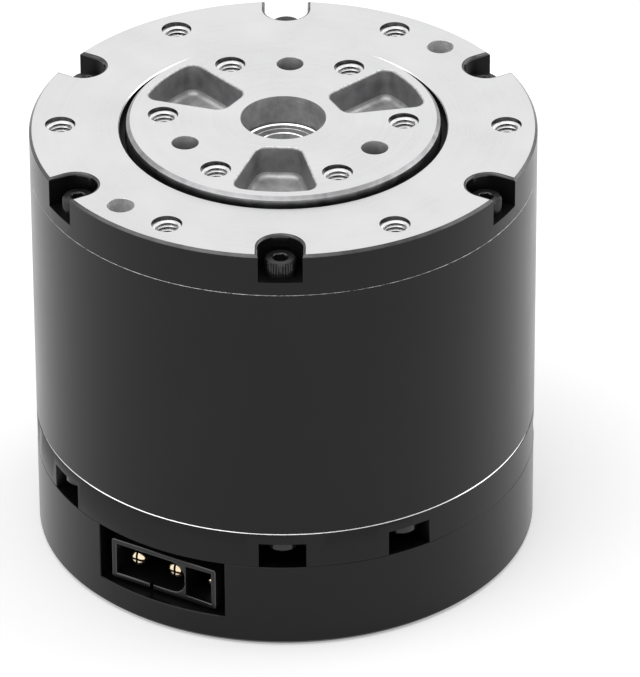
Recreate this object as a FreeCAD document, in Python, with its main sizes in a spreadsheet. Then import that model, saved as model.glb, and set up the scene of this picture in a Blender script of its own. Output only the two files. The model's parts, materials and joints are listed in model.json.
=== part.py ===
import FreeCAD, Part
import os
import math
from types import SimpleNamespace

import Sketcher

# Robot joint actuator: an outrunner motor, a two-stage planetary gearbox and a motor driver in one
# round housing, with a turning output flange at the front and a power and signal connector at the rear.
#
# Frame: millimetres and degrees. The rear cover stands on z = 0, the housing axis is Z and the output
# flange faces +Z. The connector faces -Y. Angles are measured about Z from +X.
#
# Gear train: both stages share one ring gear. Sun 12, planet 24 and ring 60 teeth give 6:1 a stage.

SIZES = {
    # housing
    "housing_diameter": 57.0,
    "edge_chamfer": 0.3,
    # rear cover
    "cover_height": 10.4,
    "cover_wall": 4.9,
    "cover_floor": 1.8,
    "cover_edge_chamfer": 0.5,
    "cover_screw_land": 0.15,
    "cover_screw_count": 4,
    "cover_screw_angle": 45.0,
    "cover_counterbore_depth": 2.2,
    # rear housing
    "rear_housing_height": 4.6,
    "rear_web": 2.2,
    "rear_wall": 6.3,
    "slot_side_gap": 0.8,
    "slot_height": 3.05,
    "slot_depth": 4.6,
    "slot_first_angle": 30.0,
    "slot_second_angle": 60.0,
    "slot_group_count": 4,
    "stator_boss_radius": 9.0,
    "stator_shoulder_step": 1.4,
    "boss_bore_step": 1.1,
    "boss_rise": 0.5,
    # motor housing
    "motor_wall": 3.5,
    "wall_screw_land": 0.4,
    "gearbox_web": 1.2,
    "web_hole_radius": 6.0,
    # front ring and its notches
    "front_ring_height": 5.0,
    "lip_gap": 0.8,
    "lip_thickness": 2.9,
    "notch_count": 6,
    "notch_side_gap": 0.65,
    "notch_end_distance": 2.1,
    "notch_floor": 1.6,
    "notch_screw_distance": 2.5,
    "front_hole_count": 6,
    "front_hole_angle": 30.0,
    "front_hole_distance": 3.5,
    "front_dowel_angle": 75.0,
    "front_dowel_count": 2,
    # screws: M3 holes are modelled at the tap drill, M2 screws with cap and low heads
    "tap_drill_radius": 1.25,
    "dowel_radius": 1.5,
    "screw_radius": 1.0,
    "cap_head_radius": 1.8,
    "cap_head_height": 1.8,
    "low_head_height": 1.2,
    "hex_socket_width": 1.5,
    "hex_socket_depth": 0.9,
    "low_socket_depth": 0.6,
    "screw_grip": 5.0,
    "head_clearance": 0.2,
    # output flange
    "flange_overhang": 0.6,
    "flange_rise": 0.9,
    "flange_edge_chamfer": 0.4,
    "flange_rest_angle": 57.1,
    "flange_hub_step": 0.6,
    "flange_hole_count": 6,
    "flange_hole_angle": 30.0,
    "flange_hole_distance": 4.1,
    "flange_hole_depth": 6.0,
    "flange_dowel_angle": 60.0,
    "flange_dowel_distance": 5.4,
    "flange_dowel_depth": 4.0,
    "pilot_radius": 4.8,
    "pilot_depth": 3.45,
    "through_bore_radius": 2.85,
    "pocket_inner_wall": 1.8,
    "pocket_outer_wall": 1.5,
    "pocket_side_angle": 15.8,
    "pocket_half_width": 2.3,
    "pocket_inner_round": 1.5,
    "pocket_outer_round": 1.2,
    # crossed roller output bearing
    "bearing_wall": 7.0,
    "bearing_section": 4.5,
    "bearing_width": 5.0,
    "roller_radius": 1.0,
    "roller_count": 12,
    "roller_clearance": 0.05,
    "bearing_gap": 0.8,
    # dust seal in the gap between the flange and the front ring
    "seal_clearance": 0.15,
    "seal_depth": 1.4,
    "seal_height": 1.0,
    # gears
    "gear_module": 0.6,
    "sun_teeth": 12,
    "planet_teeth": 24,
    "pressure_angle": 20.0,
    "tooth_backlash": 0.06,
    "tooth_clearance": 0.15,
    "ring_gear_wall": 1.75,
    "planet_count": 3,
    "first_stage_face": 3.9,
    "second_stage_face": 5.2,
    "gear_end_gap": 0.4,
    "planet_pin_radius": 2.0,
    "running_clearance": 0.05,
    "carrier_thickness": 1.3,
    "carrier_rim": 3.4,
    "second_pin_seat": 4.0,
    "sun_spigot_wall": 0.7,
    # rotor
    "shaft_radius": 3.0,
    "shaft_spigot_radius": 1.5,
    "magnet_count": 14,
    "magnet_angle": 22.0,
    "magnet_thickness": 1.2,
    "rotor_rim": 1.3,
    "rotor_disc": 1.6,
    "rotor_disc_gap": 0.8,
    "rotor_end_gap": 0.6,
    "rotor_radial_gap": 0.7,
    "encoder_magnet_step": 0.2,
    "encoder_magnet_height": 1.5,
    "encoder_gap": 0.7,
    # rotor bearings
    "rotor_bearing_section": 3.5,
    "rotor_bearing_width": 3.5,
    "rotor_race": 1.1,
    "shield_thickness": 0.4,
    "shield_gap": 0.1,
    # stator
    "stator_slots": 12,
    "stator_stack": 8.0,
    "stator_yoke": 3.6,
    "tooth_width": 3.2,
    "shoe_thickness": 1.0,
    "shoe_slope": 0.5,
    "shoe_angle": 24.0,
    "air_gap": 0.5,
    "winding_end": 1.0,
    "winding_end_gap": 0.9,
    "winding_gap": 0.1,
    "winding_yoke_gap": 0.7,
    "winding_shoe_gap": 1.0,
    "winding_spacing": 0.5,
    "lead_radius": 0.6,
    "lead_distance": 1.8,
    "lead_count": 3,
    "lead_angle": 45.0,
    # driver board
    "board_gap": 0.4,
    "board_thickness": 1.6,
    "board_screw_distance": 3.2,
    "board_screw_angle": 90.0,
    "board_screw_count": 3,
    "board_boss_radius": 2.6,
    "board_screw_grip": 2.0,
    "chip_height": 0.8,
    "encoder_chip_side": 4.0,
    "processor_side": 7.0,
    "transistor_length": 5.0,
    "transistor_width": 3.3,
    "transistor_pitch": 6.0,
    "transistor_row_spacing": 6.6,
    "capacitor_radius": 2.5,
    "capacitor_height": 5.4,
    "capacitor_spacing": 24.0,
    # connector
    "opening_side_gap": 1.35,
    "opening_bottom_gap": 0.25,
    "shell_width": 13.7,
    "shell_height": 5.2,
    "shell_length": 15.0,
    "shell_setback": 1.5,
    "shell_wall": 0.65,
    "cavity_wall": 0.2,
    "power_cavity_depth": 9.0,
    "power_cavity_chamfer": 1.6,
    "signal_cavity_width": 3.1,
    "signal_cavity_depth": 7.0,
    "key_width": 1.2,
    "key_depth": 1.6,
    "power_pin_radius": 1.0,
    "power_pin_spacing": 5.0,
    "power_pin_recess": 1.0,
    "power_pin_length": 10.5,
    "signal_pin_radius": 0.4,
    "signal_pin_spacing": 1.9,
    "signal_pin_recess": 2.4,
    "signal_pin_length": 6.0,
}


TOLERANCE = 0.001
UPRIGHT = 0.99
loose = []


class Size:
    """A number and the sheet formula it comes from, so that properties can be bound to it."""

    def __init__(self, formula, value):
        self.formula = formula
        self.value = value

    @staticmethod
    def of(number):
        return number if isinstance(number, Size) else Size(repr(number), number)

    def __add__(self, other):
        other = Size.of(other)
        return Size(f"({self.formula} + {other.formula})", self.value + other.value)

    def __sub__(self, other):
        other = Size.of(other)
        return Size(f"({self.formula} - {other.formula})", self.value - other.value)

    def __mul__(self, other):
        other = Size.of(other)
        return Size(f"({self.formula} * {other.formula})", self.value * other.value)

    def __truediv__(self, other):
        other = Size.of(other)
        return Size(f"({self.formula} / {other.formula})", self.value / other.value)

    def __rsub__(self, other):
        return Size.of(other) - self

    def __rtruediv__(self, other):
        return Size.of(other) / self

    def __neg__(self):
        return Size.of(0) - self

    __radd__ = __add__
    __rmul__ = __mul__


def cosine(angle):
    """Cosine of a size in degrees."""
    angle = Size.of(angle)
    return Size(f"cos({angle.formula})", math.cos(math.radians(angle.value)))


def sine(angle):
    """Sine of a size in degrees."""
    angle = Size.of(angle)
    return Size(f"sin({angle.formula})", math.sin(math.radians(angle.value)))


def tangent(angle):
    """Tangent of a size in degrees."""
    angle = Size.of(angle)
    return Size(f"tan({angle.formula})", math.tan(math.radians(angle.value)))


def arc_cosine(ratio):
    """Angle in degrees, as a plain number, whose cosine is the ratio."""
    return Size(f"(acos({ratio.formula}) / 1deg)", math.degrees(math.acos(ratio.value)))


def polar(radius, angle):
    """The point at a radius and an angle about Z."""
    return radius * cosine(angle), radius * sine(angle)


doc = FreeCAD.newDocument("robot_joint_actuator")
sheet = doc.addObject("Spreadsheet::Sheet", "sizes")
for row, (alias, number) in enumerate(SIZES.items(), 1):
    sheet.set(f"A{row}", alias)
    sheet.set(f"B{row}", str(number))
    sheet.setAlias(f"B{row}", alias)
doc.recompute()

dim = SimpleNamespace(**{alias: Size(f"sizes.{alias}", number) for alias, number in SIZES.items()})


class Piece:
    """One sub-part of the actuator, as a PartDesign body; a set of like pieces is several solids."""

    def __init__(self, label):
        self.body = doc.addObject("PartDesign::Body", label)
        self.body.Label = label
        self.body.AllowCompound = True

    def origin(self, role):
        return next(f for f in self.body.Origin.OriginFeatures if f.Role == role)

    def sketch(self, name, draw, offset, plane):
        """A sketch on an origin plane, lifted along the plane's normal."""
        sketch = self.body.newObject("Sketcher::SketchObject", name)
        sketch.AttachmentSupport = (self.origin(plane), [""])
        sketch.MapMode = "FlatFace"
        sketch.setExpression("AttachmentOffset.Base.z", Size.of(offset).formula)
        draw(sketch)
        return sketch

    def turn(self, name, corners):
        """Revolves a closed (radius, height) outline about Z."""
        profile = self.sketch(f"{name}_profile", outline(corners), 0, "XZ_Plane")
        feature = self.body.newObject("PartDesign::Revolution", name)
        feature.Profile = profile
        feature.ReferenceAxis = (profile, ["V_Axis"])
        feature.Angle = 360
        return self.finish(feature)

    def pad(self, name, draw, start, length, plane="XY_Plane"):
        """Raises an outline along the plane's normal."""
        feature = self.body.newObject("PartDesign::Pad", name)
        feature.Profile = self.sketch(f"{name}_outline", draw, start, plane)
        feature.setExpression("Length", Size.of(length).formula)
        return self.finish(feature)

    def pocket(self, name, draw, start, depth, plane="XY_Plane"):
        """Cuts an outline against the plane's normal, from start down to start - depth."""
        before = self.body.Shape.Volume
        feature = self.body.newObject("PartDesign::Pocket", name)
        feature.Profile = self.sketch(f"{name}_outline", draw, start, plane)
        feature.setExpression("Length", Size.of(depth).formula)
        self.finish(feature)
        if self.body.Shape.Volume >= before:
            raise ValueError(f"{name} cuts nothing from {self.body.Label}")
        return feature

    def repeat(self, name, features, count):
        """Repeats features at equal angles about Z."""
        feature = self.body.newObject("PartDesign::PolarPattern", name)
        feature.Originals = features
        feature.Axis = (self.origin("Z_Axis"), [""])
        feature.Angle = 360
        feature.setExpression("Occurrences", Size.of(count).formula)
        return self.finish(feature)

    def fillet(self, name, radius, picks):
        """Rounds the edges that picks accepts."""
        edges = [f"Edge{n}" for n, edge in enumerate(self.body.Shape.Edges, 1) if picks(edge)]
        base = self.body.Tip
        feature = self.body.newObject("PartDesign::Fillet", name)
        feature.Base = (base, edges)
        feature.setExpression("Radius", Size.of(radius).formula)
        return self.finish(feature)

    def finish(self, feature):
        self.body.Tip = feature
        doc.recompute()
        return feature

    def place(self, across=0, along=0, angle=0):
        """Moves the piece in X and Y and turns it about Z."""
        self.body.setExpression("Placement.Base.x", Size.of(across).formula)
        self.body.setExpression("Placement.Base.y", Size.of(along).formula)
        self.body.setExpression("Placement.Rotation.Angle", Size.of(angle).formula)


def outline(corners):
    """A closed outline through (x, y) corners. A corner (x, y, radius, side) starts an arc: side 1 keeps
    its centre on the left of the way round, side -1 on the right."""

    def draw(sketch):
        add_outline(sketch, corners)

    return draw


def outlines(shapes):
    """Several closed outlines in one sketch."""

    def draw(sketch):
        for corners in shapes:
            add_outline(sketch, corners)

    return draw


def circles(centres, radius):
    """Circles of one radius at (x, y) centres."""

    def draw(sketch):
        for x, y in centres:
            x, y, size = Size.of(x), Size.of(y), Size.of(radius)
            centre = FreeCAD.Vector(x.value, y.value, 0)
            edge = sketch.addGeometry(Part.Circle(centre, FreeCAD.Vector(0, 0, 1), size.value), False)
            constrain(sketch, ("DistanceX", -1, 1, edge, 3), x)
            constrain(sketch, ("DistanceY", -1, 1, edge, 3), y)
            constrain(sketch, ("Radius", edge), size)

    return draw


def constrain(sketch, what, size):
    """Adds a dimension and binds it to the size's formula."""
    number = sketch.addConstraint(Sketcher.Constraint(*what, size.value))
    sketch.setExpression(f"Constraints[{number}]", size.formula)


def add_outline(sketch, corners):
    points = [(Size.of(corner[0]), Size.of(corner[1])) for corner in corners]
    starts, ends = [], []
    for number, corner in enumerate(corners):
        here = FreeCAD.Vector(points[number][0].value, points[number][1].value, 0)
        following = points[(number + 1) % len(points)]
        there = FreeCAD.Vector(following[0].value, following[1].value, 0)
        if len(corner) == 2:
            edge = sketch.addGeometry(Part.LineSegment(here, there), False)
            starts.append((edge, 1))
            ends.append((edge, 2))
            continue
        radius, side = Size.of(corner[2]), corner[3]
        edge = sketch.addGeometry(arc_between(here, there, radius.value, side), False)
        starts.append((edge, 1 if side > 0 else 2))
        ends.append((edge, 2 if side > 0 else 1))
        constrain(sketch, ("Radius", edge), radius)
    for number, end in enumerate(ends):
        sketch.addConstraint(Sketcher.Constraint("Coincident", *end, *starts[(number + 1) % len(starts)]))
    for (x, y), start in zip(points, starts):
        constrain(sketch, ("DistanceX", -1, 1, *start), x)
        constrain(sketch, ("DistanceY", -1, 1, *start), y)


def arc_between(here, there, radius, side):
    """The shorter arc from here to there, with its centre on the left (1) or right (-1)."""
    chord = there - here
    middle = (here + there) * 0.5
    reach = math.sqrt(max(radius**2 - (chord.Length / 2) ** 2, 0))
    centre = middle + FreeCAD.Vector(-chord.y, chord.x, 0).normalize() * reach * side
    first, last = (here, there) if side > 0 else (there, here)
    begin = math.atan2(first.y - centre.y, first.x - centre.x)
    end = math.atan2(last.y - centre.y, last.x - centre.x)
    circle = Part.Circle(centre, FreeCAD.Vector(0, 0, 1), radius)
    return Part.ArcOfCircle(circle, begin, end if end > begin else end + 2 * math.pi)


def box(left, right, front, back):
    """Corners of a rectangle."""
    return [(left, front), (right, front), (right, back), (left, back)]


def ring(inner, outer, bottom, top):
    """Corners of a plain ring's section."""
    return [(inner, bottom), (outer, bottom), (outer, top), (inner, top)]


# Heights of the faces where the pieces meet, from the rear to the front, and the gear sizes. Both
# stages have the same suns and planets, and the motor, gears and output bearing stack up to the front.
housing_radius = dim.housing_diameter / 2
cover_top = dim.cover_height
rear_housing_top = cover_top + dim.rear_housing_height
rear_web_bottom = rear_housing_top - dim.rear_web

windings_bottom = rear_housing_top + dim.winding_end_gap
stator_bottom = windings_bottom + dim.winding_end
stator_top = stator_bottom + dim.stator_stack
windings_top = stator_top + dim.winding_end
boss_top = windings_top + dim.boss_rise
rotor_disc_bottom = boss_top + dim.rotor_disc_gap
rotor_top = rotor_disc_bottom + dim.rotor_disc
gearbox_web_bottom = rotor_top + dim.rotor_end_gap
gearbox_floor = gearbox_web_bottom + dim.gearbox_web

ring_teeth = dim.sun_teeth + dim.planet_teeth * 2
sun_pitch_radius = dim.gear_module * dim.sun_teeth / 2
planet_pitch_radius = dim.gear_module * dim.planet_teeth / 2
ring_pitch_radius = dim.gear_module * ring_teeth / 2
planet_distance = sun_pitch_radius + planet_pitch_radius
ring_tip_radius = ring_pitch_radius - dim.gear_module
ring_root_radius = ring_pitch_radius + dim.gear_module + dim.tooth_clearance
ring_gear_radius = ring_root_radius + dim.ring_gear_wall

first_planets_bottom = gearbox_floor + dim.gear_end_gap
first_planets_top = first_planets_bottom + dim.first_stage_face
carrier_bottom = first_planets_top + dim.gear_end_gap
carrier_top = carrier_bottom + dim.carrier_thickness
second_planets_bottom = carrier_top + dim.gear_end_gap
second_planets_top = second_planets_bottom + dim.second_stage_face
flange_bottom = second_planets_top + dim.gear_end_gap

# The output bearing hangs under the front ring's lip, and carries the output flange's hub.
bearing_bottom = flange_bottom + dim.flange_hub_step
bearing_top = bearing_bottom + dim.bearing_width
bearing_middle = (bearing_top + bearing_bottom) / 2
bearing_outer_radius = housing_radius - dim.bearing_wall
bearing_bore_radius = bearing_outer_radius - dim.bearing_section
bearing_pitch_radius = (bearing_bore_radius + bearing_outer_radius) / 2
front_face = bearing_top + dim.lip_thickness
motor_housing_top = front_face - dim.front_ring_height
output_face = front_face + dim.flange_rise
flange_radius = bearing_bore_radius + dim.flange_overhang
lip_radius = flange_radius + dim.lip_gap
pocket_inner_radius = dim.pilot_radius + dim.pocket_inner_wall
pocket_outer_radius = flange_radius - dim.pocket_outer_wall
pocket_depth = output_face - bearing_top

# Motor radii, from the housing's wall inwards and from the boss outwards.
motor_cavity_radius = housing_radius - dim.motor_wall
rotor_radius = motor_cavity_radius - dim.rotor_radial_gap
rotor_inner_radius = rotor_radius - dim.rotor_rim
magnet_face_radius = rotor_inner_radius - dim.magnet_thickness
stator_radius = magnet_face_radius - dim.air_gap
shoe_radius = stator_radius - dim.shoe_thickness
stator_yoke_radius = dim.stator_boss_radius + dim.stator_yoke
winding_inner_radius = stator_yoke_radius + dim.winding_yoke_gap
winding_outer_radius = shoe_radius - dim.winding_shoe_gap
lead_circle_radius = winding_outer_radius - dim.lead_distance
rotor_bearing_radius = dim.shaft_radius + dim.rotor_bearing_section
boss_bore_radius = rotor_bearing_radius - dim.boss_bore_step
sun_spigot_radius = dim.shaft_spigot_radius + dim.sun_spigot_wall

# Driver board, encoder and connector.
cover_inner_radius = housing_radius - dim.cover_wall
rear_recess_radius = housing_radius - dim.rear_wall
board_radius = cover_inner_radius - dim.board_gap
board_top = cover_top
board_bottom = board_top - dim.board_thickness
encoder_magnet_bottom = board_top + dim.chip_height + dim.encoder_gap
shaft_bottom = encoder_magnet_bottom + dim.encoder_magnet_height
shell_bottom = board_bottom - dim.shell_height
shell_middle = board_bottom - dim.shell_height / 2
shell_front = housing_radius - dim.shell_setback

# Screws and their seats.
counterbore_radius = dim.cap_head_radius + dim.head_clearance
cover_screw_radius = cover_inner_radius + counterbore_radius + dim.cover_screw_land
slot_screw_radius = motor_cavity_radius + dim.wall_screw_land + dim.screw_radius
notch_screw_radius = housing_radius - dim.notch_screw_distance
board_screw_radius = board_radius - dim.board_screw_distance
notch_floor_height = motor_housing_top + dim.notch_floor
slot_ceiling = cover_top + dim.slot_height
slot_angles = (dim.slot_first_angle, dim.slot_second_angle)
slot_screw_centres = [polar(slot_screw_radius, angle) for angle in slot_angles]
cover_screw_centres = [polar(cover_screw_radius, dim.cover_screw_angle)]
board_screw_centres = [polar(board_screw_radius, dim.board_screw_angle)]
notch_screw_centres = [(notch_screw_radius, 0)]
lead_centres = [polar(lead_circle_radius, dim.lead_angle)]
cover_hole_top = dim.cover_counterbore_depth + dim.cover_height


def hexagon(x, y, width):
    """Corners of a hexagon across its flats."""
    reach = width / (cosine(30) * 2)
    return [(x + reach * cosine(60 * n), y + reach * sine(60 * n)) for n in range(6)]


def screws(label, centres, seat, up, head_height, socket_depth, grip, count):
    """Socket head screws whose heads sit on the seat: above it when up, else below it."""
    piece = Piece(label)
    if up:
        head = piece.pad("head", circles(centres, dim.cap_head_radius), seat, head_height)
        shank = piece.pad("shank", circles(centres, dim.screw_radius), seat - grip, grip)
        socket_start = seat + head_height
    else:
        head = piece.pad("head", circles(centres, dim.cap_head_radius), seat - head_height, head_height)
        shank = piece.pad("shank", circles(centres, dim.screw_radius), seat, grip)
        socket_start = seat - head_height + socket_depth
    shapes = [hexagon(x, y, dim.hex_socket_width) for x, y in centres]
    socket = piece.pocket("socket", outlines(shapes), socket_start, socket_depth)
    piece.repeat("screws_round", [head, shank, socket], count)
    return piece


def rear_cover():
    piece = Piece("rear_cover")
    piece.turn("cup", [
        (0, 0),
        (housing_radius - dim.cover_edge_chamfer, 0),
        (housing_radius, dim.cover_edge_chamfer),
        (housing_radius, cover_top),
        (cover_inner_radius, cover_top),
        (cover_inner_radius, dim.cover_floor),
        (0, dim.cover_floor),
    ])
    half = dim.shell_width / 2 + dim.opening_side_gap
    mouth = box(-half, half, -housing_radius - dim.edge_chamfer, half - cover_inner_radius)
    opening_bottom = shell_bottom - dim.opening_bottom_gap
    piece.pocket("connector_opening", outline(mouth), cover_top, cover_top - opening_bottom)
    seat_depth = dim.cover_counterbore_depth
    seat_circles = circles(cover_screw_centres, counterbore_radius)
    seat = piece.pocket("screw_seat", seat_circles, seat_depth, seat_depth)
    hole = piece.pocket("screw_hole", circles(cover_screw_centres, dim.screw_radius), cover_top, cover_top)
    piece.repeat("screw_holes", [seat, hole], dim.cover_screw_count)
    return piece


def rear_housing():
    piece = Piece("rear_housing")
    chamfer = dim.edge_chamfer
    shoulder_radius = dim.stator_boss_radius + dim.stator_shoulder_step
    piece.turn("plate", [
        (boss_bore_radius, rear_web_bottom + dim.rotor_bearing_width),
        (rotor_bearing_radius, rear_web_bottom + dim.rotor_bearing_width),
        (rotor_bearing_radius, rear_web_bottom),
        (rear_recess_radius, rear_web_bottom),
        (rear_recess_radius, cover_top),
        (housing_radius, cover_top),
        (housing_radius, rear_housing_top - chamfer),
        (housing_radius - chamfer, rear_housing_top),
        (shoulder_radius, rear_housing_top),
        (shoulder_radius, stator_bottom),
        (dim.stator_boss_radius, stator_bottom),
        (dim.stator_boss_radius, boss_top),
        (rotor_bearing_radius, boss_top),
        (rotor_bearing_radius, boss_top - dim.rotor_bearing_width),
        (boss_bore_radius, boss_top - dim.rotor_bearing_width),
    ])
    boss_depth = rear_web_bottom - cover_top
    boss = piece.pad("board_boss", circles(board_screw_centres, dim.board_boss_radius), cover_top, boss_depth)
    boss_hole = piece.pocket(
        "board_hole",
        circles(board_screw_centres, dim.screw_radius),
        cover_top + dim.board_screw_grip,
        dim.board_screw_grip,
    )
    piece.repeat("board_bosses", [boss, boss_hole], dim.board_screw_count)

    def slot(angle):
        """A slot in the side wall, open outwards and towards the cover."""
        half = dim.cap_head_radius + dim.slot_side_gap
        c, s = cosine(angle), sine(angle)
        corners = box(housing_radius - dim.slot_depth, housing_radius + chamfer, -half, half)
        return [(x * c - y * s, x * s + y * c) for x, y in corners]

    slot_outlines = outlines([slot(angle) for angle in slot_angles])
    slots = piece.pocket("slots", slot_outlines, slot_ceiling, dim.slot_height)
    holes = piece.pocket(
        "slot_holes",
        circles(slot_screw_centres, dim.screw_radius),
        rear_housing_top,
        rear_housing_top - slot_ceiling,
    )
    piece.repeat("slots_round", [slots, holes], dim.slot_group_count)
    hole = piece.pocket(
        "cover_hole",
        circles(cover_screw_centres, dim.screw_radius),
        cover_hole_top,
        cover_hole_top - cover_top,
    )
    piece.repeat("cover_holes", [hole], dim.cover_screw_count)
    lead_hole = piece.pocket(
        "lead_hole",
        circles(lead_centres, dim.lead_radius + dim.head_clearance),
        rear_housing_top,
        dim.rear_web,
    )
    piece.repeat("lead_holes", [lead_hole], dim.lead_count)
    return piece


def motor_housing():
    piece = Piece("motor_housing")
    piece.turn("shell", [
        (motor_cavity_radius, rear_housing_top),
        (housing_radius, rear_housing_top),
        (housing_radius, motor_housing_top),
        (bearing_outer_radius, motor_housing_top),
        (bearing_outer_radius, bearing_bottom),
        (ring_gear_radius, bearing_bottom),
        (ring_gear_radius, gearbox_floor),
        (dim.web_hole_radius, gearbox_floor),
        (dim.web_hole_radius, gearbox_web_bottom),
        (motor_cavity_radius, gearbox_web_bottom),
    ])
    rear_depth = dim.screw_grip - (rear_housing_top - slot_ceiling)
    rear = piece.pocket(
        "rear_hole",
        circles(slot_screw_centres, dim.screw_radius),
        rear_housing_top + rear_depth,
        rear_depth,
    )
    piece.repeat("rear_holes", [rear], dim.slot_group_count)
    front_depth = dim.screw_grip - dim.notch_floor
    front_circles = circles(notch_screw_centres, dim.screw_radius)
    front = piece.pocket("front_hole", front_circles, motor_housing_top, front_depth)
    piece.repeat("front_holes", [front], dim.notch_count)
    return piece


def front_ring():
    piece = Piece("front_ring")
    chamfer = dim.edge_chamfer
    piece.turn("ring", [
        (bearing_outer_radius, motor_housing_top),
        (housing_radius, motor_housing_top),
        (housing_radius, front_face - chamfer),
        (housing_radius - chamfer, front_face),
        (lip_radius, front_face),
        (lip_radius, bearing_top),
        (bearing_outer_radius, bearing_top),
    ])
    notch_radius = dim.cap_head_radius + dim.notch_side_gap
    notch_end = housing_radius - dim.notch_end_distance
    notch = piece.pocket(
        "notch",
        outline([
            (notch_end, notch_radius, notch_radius, 1),
            (notch_end - notch_radius, 0, notch_radius, 1),
            (notch_end, -notch_radius),
            (housing_radius + chamfer, -notch_radius),
            (housing_radius + chamfer, notch_radius),
        ]),
        front_face,
        dim.front_ring_height - dim.notch_floor,
    )
    notch_hole = piece.pocket(
        "notch_hole", circles(notch_screw_centres, dim.screw_radius), notch_floor_height, dim.notch_floor
    )
    piece.repeat("notches", [notch, notch_hole], dim.notch_count)
    hole_circle_radius = housing_radius - dim.front_hole_distance
    centre = [polar(hole_circle_radius, dim.front_hole_angle)]
    tapped = circles(centre, dim.tap_drill_radius)
    hole = piece.pocket("tapped_hole", tapped, front_face, dim.front_ring_height)
    piece.repeat("tapped_holes", [hole], dim.front_hole_count)
    centre = [polar(hole_circle_radius, dim.front_dowel_angle)]
    dowel = piece.pocket("dowel_hole", circles(centre, dim.dowel_radius), front_face, dim.front_ring_height)
    piece.repeat("dowel_holes", [dowel], dim.front_dowel_count)
    return piece


def output_flange():
    """The turning flange, drawn with its first pocket on +X and turned to its rest angle."""
    piece = Piece("output_flange")
    piece.turn("disc", [
        (dim.through_bore_radius, flange_bottom),
        (bearing_bore_radius, flange_bottom),
        (bearing_bore_radius, bearing_top),
        (flange_radius, bearing_top),
        (flange_radius, output_face - dim.flange_edge_chamfer),
        (flange_radius - dim.flange_edge_chamfer, output_face),
        (dim.pilot_radius, output_face),
        (dim.pilot_radius, output_face - dim.pilot_depth),
        (dim.through_bore_radius, output_face - dim.pilot_depth),
    ])
    x, y = polar(pocket_outer_radius, pocket_corner_angle())
    pocket = piece.pocket(
        "pocket",
        outline([
            (pocket_inner_radius, dim.pocket_half_width),
            (pocket_inner_radius, -dim.pocket_half_width),
            (x, -y, pocket_outer_radius, 1),
            (x, y),
        ]),
        output_face,
        pocket_depth,
    )
    piece.repeat("pockets", [pocket], dim.planet_count)
    middle = (pocket_inner_radius.value + pocket_outer_radius.value) / 2
    inside, outside = dim.pocket_inner_round, dim.pocket_outer_round
    piece.fillet("inner_rounds", inside, lambda edge: pocket_corner_radius(edge) < middle)
    piece.fillet("outer_rounds", outside, lambda edge: middle < pocket_corner_radius(edge) < math.inf)
    seat_depth = dim.second_pin_seat
    pins = circles([(planet_distance, 0)], dim.planet_pin_radius)
    seat = piece.pocket("pin_seat", pins, flange_bottom + seat_depth, seat_depth)
    piece.repeat("pin_seats", [seat], dim.planet_count)
    centre = [polar(flange_radius - dim.flange_hole_distance, dim.flange_hole_angle)]
    tapped = circles(centre, dim.tap_drill_radius)
    hole = piece.pocket("tapped_hole", tapped, output_face, dim.flange_hole_depth)
    piece.repeat("tapped_holes", [hole], dim.flange_hole_count)
    centre = [polar(flange_radius - dim.flange_dowel_distance, dim.flange_dowel_angle)]
    dowel = piece.pocket("dowel_hole", circles(centre, dim.dowel_radius), output_face, dim.flange_dowel_depth)
    piece.repeat("dowel_holes", [dowel], dim.planet_count)
    piece.place(angle=dim.flange_rest_angle)
    return piece


def pocket_corner_angle():
    """Angle at which a pocket's side line meets its outer arc, from the line's distance to the axis."""
    lean = dim.pocket_half_width - tangent(dim.pocket_side_angle) * pocket_inner_radius
    distance = lean * cosine(dim.pocket_side_angle)
    return 90 + dim.pocket_side_angle - arc_cosine(distance / pocket_outer_radius)


def pocket_corner_radius(edge):
    """The radius at which one of a pocket's upright corner edges stands, or infinity for any other edge."""
    if edge.Curve.TypeId != "Part::GeomLine" or abs(edge.tangentAt(edge.FirstParameter).z) < UPRIGHT:
        return math.inf
    low, high = sorted(vertex.Z for vertex in edge.Vertexes)
    if low < bearing_top.value - TOLERANCE or high - low < pocket_depth.value - TOLERANCE:
        return math.inf
    return math.hypot(edge.CenterOfMass.x, edge.CenterOfMass.y)


def involute(angle):
    """Involute function of an angle in degrees, in degrees."""
    return tangent(angle) * (180 / math.pi) - angle


def half_tooth_angle(teeth, pitch_radius, radius, extra):
    """Half the angle that an involute tooth fills at a radius, with extra width on the pitch circle.
    Below the base circle the flank is radial."""
    base_radius = pitch_radius * cosine(dim.pressure_angle)
    spread = 90 / teeth + involute(dim.pressure_angle) + extra / pitch_radius * (90 / math.pi)
    if radius.value <= base_radius.value:
        return spread
    return spread - involute(arc_cosine(base_radius / radius))


def tooth_outline(teeth, pitch_radius, radii, extra):
    """An involute tooth on +X through the given radii, each flank in short straight pieces."""
    side = [(radius, half_tooth_angle(teeth, pitch_radius, radius, extra)) for radius in radii]
    lower = [polar(radius, -angle) for radius, angle in side]
    upper = [polar(radius, angle) for radius, angle in reversed(side)]
    return lower + upper


def spur_gear(label, teeth, pitch_radius, bottom, face, bore):
    """An outside gear with a tooth on +X."""
    piece = Piece(label)
    root = pitch_radius - dim.gear_module - dim.tooth_clearance
    piece.turn("hub", ring(bore, root, bottom, bottom + face))
    radii = [root - dim.tooth_clearance, pitch_radius, pitch_radius + dim.gear_module]
    tooth = piece.pad(
        "tooth", outline(tooth_outline(teeth, pitch_radius, radii, -dim.tooth_backlash)), bottom, face
    )
    piece.repeat("teeth", [tooth], teeth)
    return piece


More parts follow.
